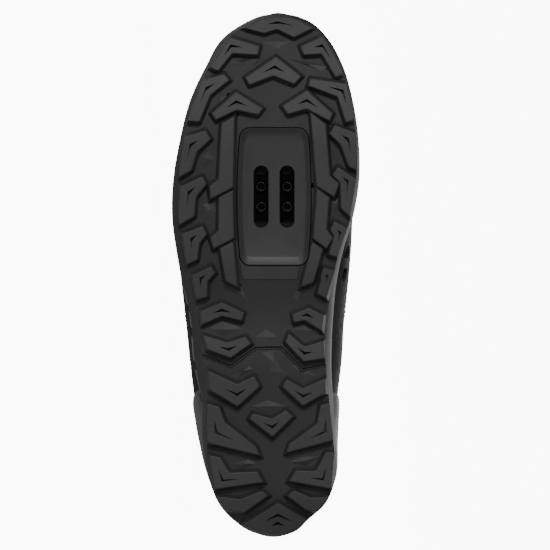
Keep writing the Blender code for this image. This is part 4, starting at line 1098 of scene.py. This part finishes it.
last = lastSurface()
lastOut = surfaceNormals(last)
topRow = len(last) - 1
outer = last.copy()
outer[stepRow:] += lastOut[stepRow:] * shape["bandStep"]

# Creases across the vamp where the ball of the foot bends it: station at the middle, how far it
# swings back at the sides, its depth, half width and how far down the side it runs.
creases = [(0.702, 0.030, 0.0011, 0.0036), (0.738, 0.034, 0.0014, 0.0042), (0.775, 0.030, 0.0009, 0.0036)]


def creaseDepth():
    x, y, z = last[:, :, 0], last[:, :, 1], last[:, :, 2]
    height = smoothStep((z - seatHeight(x) - 0.010) / 0.016)
    depth = np.zeros(x.shape)
    for station, swing, deep, halfWidth in creases:
        middle = (station - swing * (np.abs(y) / (0.45 * ballWidth)) ** 1.5) * shoeLength
        wander = 0.0012 * np.sin(y * 190 + station * 40)
        across = (x - middle - wander) / halfWidth
        trough = np.exp(-across ** 2)
        ridge = 0.45 * np.exp(-((np.abs(across) - 1.9) / 0.9) ** 2)
        depth += deep * (trough - ridge) * height
    return depth


outer -= lastOut * creaseDepth()[:, :, None]


def wallThickness():
    # Thicker where the collar is padded.
    depth = np.linalg.norm(last - last[-1], axis=2)
    fromHeel = 1 - np.abs(np.arange(around) - half) / half
    collar = smoothStep((shape["collarEnd"] - fromHeel) / shape["collarBlend"])
    swell = np.sin(math.pi * np.clip(depth / shape["paddingDepth"], 0.12, 1))
    return shape["upperWall"] + shape["collarPadding"] * collar * np.clip(swell, 0, 1)


inner = last - lastOut * wallThickness()[:, :, None]


def spot(column, row, grid=outer):
    # A point of a wall's surface between grid points, and the way out there.
    i, r = int(math.floor(column)), min(int(row), topRow - 1)
    u, v = column - i, row - r
    point, out = np.zeros(3), np.zeros(3)
    for di, shareI in ((0, 1 - u), (1, u)):
        for dr, shareR in ((0, 1 - v), (1, v)):
            place = (r + dr, (i + di) % around)
            point += grid[place] * (shareI * shareR)
            out += lastOut[place] * (shareI * shareR)
    return point, unit(out)


eyelets = {"rows": 6, "first": 0.455, "last": 0.690, "inset": 0.0068, "bore": 0.0044, "sides": 24}
eyeletColumns = np.linspace(eyelets["first"], eyelets["last"], eyelets["rows"]) * half
vents = {"stations": [0.540, 0.497], "tapers": [0.45, 0.1], "row": 0.42, "length": 0.0072, "height": 0.0042,
         "corner": 0.0021 * 0.98}


def onSide(column, side):
    # The medial column, or its mirror on the lateral side.
    return column if side > 0 else around - column


def eyeletSpot(row, side):
    up = eyelets["inset"] / shape["bandWidth"] * bandSteps
    return spot(onSide(eyeletColumns[row], side), topRow - up)


def ventSpot(station):
    column = min(range(1, half), key=lambda k: abs(last[lowSteps, k, 0] - station * shoeLength))
    return spot(column, lowSteps * vents["row"])


def addHole(bm, flat, point, out, deep):
    # flat is the hole's outline, laid on the wall with its x along the shoe.
    along = unit(np.array([1.0, 0, 0]) - out * out[0])
    across = np.cross(out, along)
    addPlug(bm, [along * a + across * b for a, b in flat], point, out, [(depth, 1) for depth in deep])


def buildUpper():
    seatLift = gap + shape["upperWall"]
    innerCorner = onSeat(inset(featherLoop, shape["upperWall"]), seatLift)
    marginEdge = inset(featherLoop, shape["lastingMargin"])
    upwardEdge = unit(outer[-1] - outer[-2]) * 0.0005
    rings = [onSeat(marginEdge, gap)] + list(outer)
    rings += [outer[-1] + upwardEdge - lastOut[-1] * 0.0006, inner[-1] + upwardEdge + lastOut[-1] * 0.0006]
    liningStart = (len(rings) - 2) * around
    rings += [inner[row] for row in range(topRow, 0, -1)]
    rings += [innerCorner, onSeat(marginEdge, seatLift)]
    faces = ringFaces(len(rings), around, wrap=True)
    kinds = [int(k >= liningStart) for k in range(len(faces))]
    upper = newPiece("upperShell", np.vstack(rings), faces, [upperTextile, liningMesh], "shoe",
                     50, kinds, merge=0)
    bm = bmesh.new()
    angles = np.linspace(0, 2 * math.pi, eyelets["sides"], endpoint=False)
    circle = np.column_stack([np.cos(angles), np.sin(angles)]) * eyelets["bore"] / 2
    for row in range(eyelets["rows"]):
        for side in (1, -1):
            addHole(bm, circle, *eyeletSpot(row, side), (-0.0064, 0.0022))
    for station, taper in zip(vents["stations"], vents["tapers"]):
        flat = roundedRectangle((0, 0), vents["length"], vents["height"], vents["corner"], 6)
        flat[:, 1] *= 1 - taper * flat[:, 0] / vents["length"] * 2
        addHole(bm, flat, *ventSpot(station), (-0.0044, 0.0022))
    cutWith(upper, bareObject("holes", bm))
    shade(upper.data, 50)
    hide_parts("upper")


buildUpper()
print("upper ready")


# Overlays that follow the upper: strips between two curves in its own rows and columns

overlays = {"thickness": 0.0012, "across": 14, "lowRow": 1.0, "leastRow": 1.2, "least": 1.6}
# Reach from the heel or toe as a share of the half outline. The counter's top edge falls from the
# back of the heel and slants down to its front end: station and height above the ground.
counter = {"reach": 0.36, "columns": 120, "topEdge": [(-0.1, 0.0725), (0.08, 0.0705), (0.20, 0.0615),
                                                      (0.245, 0.0458), (0.32, 0.0150)]}
# The cap's edge starts at this station and slants forward as it rises.
cap = {"reach": 0.24, "columns": 110, "station": 0.79, "slant": 0.06}


def overlay(name, tops, material):
    # tops gives the top row for each column; the edges are rounded over.
    across, thickness, low = overlays["across"], overlays["thickness"], overlays["lowRow"]
    front, back = [], []
    for column, high in tops.items():
        for t in np.linspace(0, 1, across):
            point, out = spot(column, low + (high - low) * t)
            edge = min(1.0, 4.0 * min(t, 1 - t) + 0.25)
            front.append(point + out * (gap + thickness * edge))
            back.append(point + out * (gap - 0.0001))
    front, back = np.array(front), np.array(back)
    for end in (slice(0, across), slice(-across, None)):
        front[end] = back[end] + (front[end] - back[end]) * 0.35
    faces = sheetFaces(len(tops), across)
    return newPiece(name, np.vstack([front, back]), faces, [material], "shoe", 40)


def buildCounter():
    stations, heights = zip(*counter["topEdge"])
    rows = np.arange(topRow + 1)

    def high(column):
        # The row at the top edge's height; a few rounds, as its station depends on the row.
        levels = [spot(column, row)[0][2] for row in rows]
        guess = stepRow - 2.0
        for _ in range(4):
            station = spot(column, guess)[0][0] / shoeLength
            guess = float(np.interp(np.interp(station, stations, heights), levels, rows))
            guess = max(overlays["leastRow"], min(guess, stepRow - 2.0))
        return guess

    reach = counter["reach"] * half
    tops = {column: high(column) for column in np.linspace(-reach, reach, counter["columns"])}
    tops = {column: row for column, row in tops.items() if row > overlays["least"]}
    piece = overlay("heelCounterTpu", tops, counterTpu)
    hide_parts("heel_counter")


def buildToeCap():
    rows = np.linspace(overlays["leastRow"], lowSteps + wallSteps * 0.5, 30)

    def high(column):
        inside = [overlays["leastRow"]]
        for row in rows:
            x, _, z = spot(column, row)[0]
            if x / shoeLength > cap["station"] + cap["slant"] * z / shape["collarHeight"]:
                inside.append(row)
        return max(inside)

    reach = cap["reach"] * half
    tops = {column: high(column) for column in np.linspace(half - reach, half + reach, cap["columns"])}
    tops = {column: row for column, row in tops.items() if row > overlays["least"]}
    piece = overlay("toeCapTpu", tops, capTpu)
    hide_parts("toe_cap")


buildCounter()
buildToeCap()
print("overlays ready")


# Stitching: the row round the top band and the seam up each side

stitching = {"length": 0.0024, "space": 0.0011, "thickness": 0.0005, "sides": 6, "bandRow": stepRow + 1.2,
             "seam": [(0.370, 0.8), (0.392, 3), (0.414, 6), (0.45, 12), (0.49, 21), (0.53, 30),
                      (0.552, stepRow - 2)]}
# Along a stitch: share of its length, and how far its middle lies above the textile.
stitchCurve = [(0, -0.00025), (0.18, 0.0001), (0.5, 0.00016), (0.82, 0.0001), (1, -0.00025)]


def stitchLines():
    lines = [[(column, stitching["bandRow"]) for column in np.linspace(0, around, 3 * around)]]
    seamStations, seamRows = zip(*stitching["seam"])
    rows = np.linspace(seamRows[0], seamRows[-1], 160)
    stations = np.interp(rows, seamRows, seamStations)
    for side in (1, -1):
        columns = [np.interp(station * shoeLength, last[int(row), :half + 1, 0], np.arange(half + 1))
                   for station, row in zip(stations, rows)]
        lines.append([(onSide(column, side), row) for column, row in zip(columns, rows)])
    return lines


def buildStitches():
    vertices, faces = [], []
    sides, step = stitching["sides"], stitching["length"] + stitching["space"]
    shares, lifts = np.array(stitchCurve).T
    radius = stitching["thickness"] / 2
    angles = np.linspace(0, 2 * math.pi, sides, endpoint=False)
    caps = [range(sides), range((len(lifts) - 1) * sides, len(lifts) * sides)]
    for line in stitchLines():
        points, outs = (np.array(values) for values in zip(*[spot(column, row) for column, row in line]))
        run = np.concatenate([[0], np.cumsum(np.linalg.norm(np.diff(points, axis=0), axis=1))])
        for k in range(int(run[-1] / step)):
            at = k * step + shares * stitching["length"]
            centre, out = readColumns(at, run, points), readColumns(at, run, outs)
            ahead = unit(centre[-1] - centre[0])
            start = len(vertices)
            for p, o, lift in zip(centre, out, lifts):
                beside = np.cross(ahead, o)
                vertices += [p + o * lift + (beside * math.cos(a) + o * math.sin(a)) * radius
                             for a in angles]
            faces += [[start + n for n in face] for face in ringFaces(len(lifts), sides) + caps]
    newPiece("threadPolyester", vertices, faces, [threadPolyester], "shoe", 60)


buildStitches()
print("stitching ready")


# Insole

insole = {"clearance": 0.0006, "thickness": 0.0036, "rounding": 0.0006}


def buildInsole():
    low = gap + shape["upperWall"] + gap
    high, rounding = low + insole["thickness"], insole["rounding"]
    plan = inset(featherLoop, shape["upperWall"] + insole["clearance"])
    inside = inset(plan, rounding)
    rings = [onSeat(plan, low), onSeat(plan, high - rounding), onSeat(inside, high)]
    closers = [(plan, 8, above(seatHeight, low)), (inside, 24, above(seatHeight, high))]
    piece = soleShell("footbed", rings, closers, [footbedFabric])
    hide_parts("insole")


buildInsole()
print("insole ready")


# Tongue

tongue = {"thickness": 0.0040, "clearance": 0.0004, "crown": 0.0020, "rise": 0.017, "topWidth": 0.040,
          "narrow": 0.8, "freeRise": 0.45, "first": 0.4375, "end": 0.9375, "rows": 44, "wingPoints": 7,
          "archPoints": 15, "freeRows": 14, "rounding": 0.0035, "seamDepth": 0.0005, "seamAt": 0.34,
          "seamWidth": 0.025, "wingReach": 0.8, "edgeShare": 0.4, "tuckStart": 0.05, "tuckGrowth": 12.8}


def tongueWing(side, tuck):
    # From deep under a side of the upper up to its top edge, drawn in towards that edge at the front.
    points, outs = [], []
    for t in np.linspace(1, 0, tongue["wingPoints"]):
        point, out = spot(side, topRow - 0.001 - (topRow - stepRow + 5) * t, inner)
        points.append(point - out * tongue["clearance"])
        outs.append(out)
    points, outs = np.array(points), np.array(outs)
    return points[-1] + (points - points[-1]) * tuck, outs[-1] + (outs - outs[-1]) * tuck


def tongueBody():
    # Rows across the part that lies in the throat, between the two wings.
    throatWidth = 2 * shape["collarHalfWidth"] * topLine[8][2]
    grid, ways = [], []
    for share in np.linspace(tongue["first"], tongue["end"], tongue["rows"]):
        tuck = min(1.0, tongue["tuckStart"] + tongue["tuckGrowth"] * (share - tongue["first"]))
        column = share * half
        (wingA, outA), (wingB, outB) = (tongueWing(side, tuck) for side in (column, around - column))
        edgeA, edgeB = wingA[-1], wingB[-1]
        span = min(1.0, np.linalg.norm(edgeA - edgeB) / throatWidth)
        t = np.linspace(0, 1, tongue["archPoints"])[1:-1, None]
        arch = edgeA + (edgeB - edgeA) * t + (0, 0, 1) * (tongue["crown"] * span ** 2 * 4 * t * (1 - t))
        grid.append(np.vstack([wingA, arch, wingB[::-1]]))
        ways.append(np.vstack([outA, outA[-1] * (1 - t) + outB[-1] * t, outB[::-1]]))
    return np.array(grid), np.array(ways)


def tongueTop(grid, reach):
    # The free end that stands up behind the first row.
    middle = len(reach) // 2
    away = unit(grid[0, middle] - grid[5, middle])
    wing, far = tongue["wingPoints"] / len(reach) * 2, tongue["wingReach"]
    spread = np.interp(np.abs(reach), [0, 1 - wing, 1], [0, far, 1]) * np.sign(reach)
    narrow = np.linalg.norm(grid[0, 0] - grid[0, -1]) * tongue["narrow"]
    side = -1 if grid[0, 0, 1] > 0 else 1
    rows = []
    for share in np.linspace(1, 0.10, tongue["freeRows"]):
        base = grid[0, middle] + (away + (0, 0, tongue["freeRise"])) * tongue["rise"] * share
        breadth = narrow + (tongue["topWidth"] - narrow) * smoothStep(2 * share - 0.6)
        rounding = tongue["rounding"] * np.clip((share - 0.75) / 0.25, 0, 1)
        rows.append([base + (0, side * u * breadth / 2, -u * u * tongue["crown"] * 2)
                     - away * rounding * np.abs(u) ** 6 for u in spread])
    return np.array(rows), np.broadcast_to((away[2], 0, -away[0]), (len(rows), len(reach), 3))


def buildTongue():
    grid, out = tongueBody()
    reach = np.linspace(-1, 1, grid.shape[1])
    top, topOut = tongueTop(grid, reach)
    grid, out = np.concatenate([top, grid]), unit(np.concatenate([topOut, out]))
    least = tongue["edgeShare"]
    profile = least + (1 - least) * np.clip((1 - np.abs(reach)) / 0.35, 0, 1) ** 0.6
    ends = np.ones(len(grid))
    ends[:2] = 0.35, 0.8
    thickness = tongue["thickness"] * profile[None, :] * ends[:, None]
    seams = tongue["seamDepth"] * np.exp(-((np.abs(reach) - tongue["seamAt"]) / tongue["seamWidth"]) ** 2)
    front = grid - out * seams[None, :, None]
    back = grid - out * thickness[:, :, None]
    vertices = np.vstack([front.reshape(-1, 3), back.reshape(-1, 3)])
    piece = newPiece("tonguePad", vertices, sheetFaces(*grid.shape[:2]), [liningMesh], "shoe", 60)
    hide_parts("tongue")


buildTongue()
print("tongue ready")


# Laces: straight bars from eyelet to eyelet, with each end down its hole

lace = {"width": 0.0050, "stubWidth": 0.0030, "thickness": 0.0014, "clearance": 0.0005, "points": 90,
        "softening": 3, "sides": 12}


def softened(points):
    # Rounds the bends of a line of points; its ends stay.
    for _ in range(lace["softening"]):
        points[1:-1] = (points[:-2] + 2 * points[1:-1] + points[2:]) / 4
    return points


def lacePath(row):
    # From one eyelet to the other: middle, the way across the lace, and its width.
    lift, stubWidth, width = lace["clearance"] + lace["thickness"] / 2, lace["stubWidth"], lace["width"]
    stub = shape["upperWall"] + shape["bandStep"] - 2 * gap
    halves = []
    for side in (1, -1):
        hole, out = eyeletSpot(row, side)
        edge, edgeOut = spot(onSide(eyeletColumns[row], side), topRow - 0.001)
        breadth = unit(np.cross(edge - hole, out) * side)
        over = unit(edgeOut + (0, 0, 1)) * lift * 1.3
        halves.append([
            (hole - out * stub, breadth, stubWidth),
            (hole - out * stub * 0.3, breadth, stubWidth),
            (hole + out * lift * 0.6, breadth, stubWidth * 1.15),
            (hole + (edge - hole) * 0.16 + out * lift, breadth, width * 0.9),
            (hole + (edge - hole) * 0.5 + out * lift * 1.1, breadth, width),
            (edge + over, breadth, width)])
    (endA, wayA, _), (endB, wayB, _) = halves[0][-1], halves[1][-1]
    crest = ((endA + endB) / 2 + (0, 0, tongue["crown"] / 2), unit(wayA + wayB), width)
    return zip(*(halves[0] + [crest] + halves[1][::-1]))


def buildLace(row):
    places, ways, widths = (np.array(values) for values in lacePath(row))
    knots = np.concatenate([[0], np.cumsum(np.linalg.norm(np.diff(places, axis=0), axis=1))])
    at = np.linspace(0, knots[-1], lace["points"])
    centre, breadths = softened(readColumns(at, knots, places)), softened(readColumns(at, knots, ways))
    widths = np.interp(at, knots, widths)
    ahead = np.vstack([centre[1:2] - centre[:1], centre[2:] - centre[:-2], centre[-1:] - centre[-2:-1]])
    # A flattened oval across the lace.
    profile = [(math.copysign(abs(math.cos(a)) ** 0.5, math.cos(a)),
                math.copysign(abs(math.sin(a)) ** 0.8, math.sin(a)))
               for a in np.linspace(0, 2 * math.pi, lace["sides"], endpoint=False)]
    vertices = []
    for middle, tangent, breadth, width in zip(centre, unit(ahead), breadths, widths):
        breadth = unit(breadth - tangent * (breadth @ tangent))
        thick = np.cross(tangent, breadth)
        vertices += [middle + breadth * width / 2 * a + thick * lace["thickness"] / 2 * b for a, b in profile]
    count = lace["sides"]
    faces = ringFaces(len(at), count) + [range(count), range(len(vertices) - count, len(vertices))]
    piece = newPiece(f"lace{row + 1}", vertices, faces, [laceWeave], "shoe", 60)
    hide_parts(f"lace_bar_{row + 1}")


for row in range(eyelets["rows"]):
    buildLace(row)
print("laces ready")
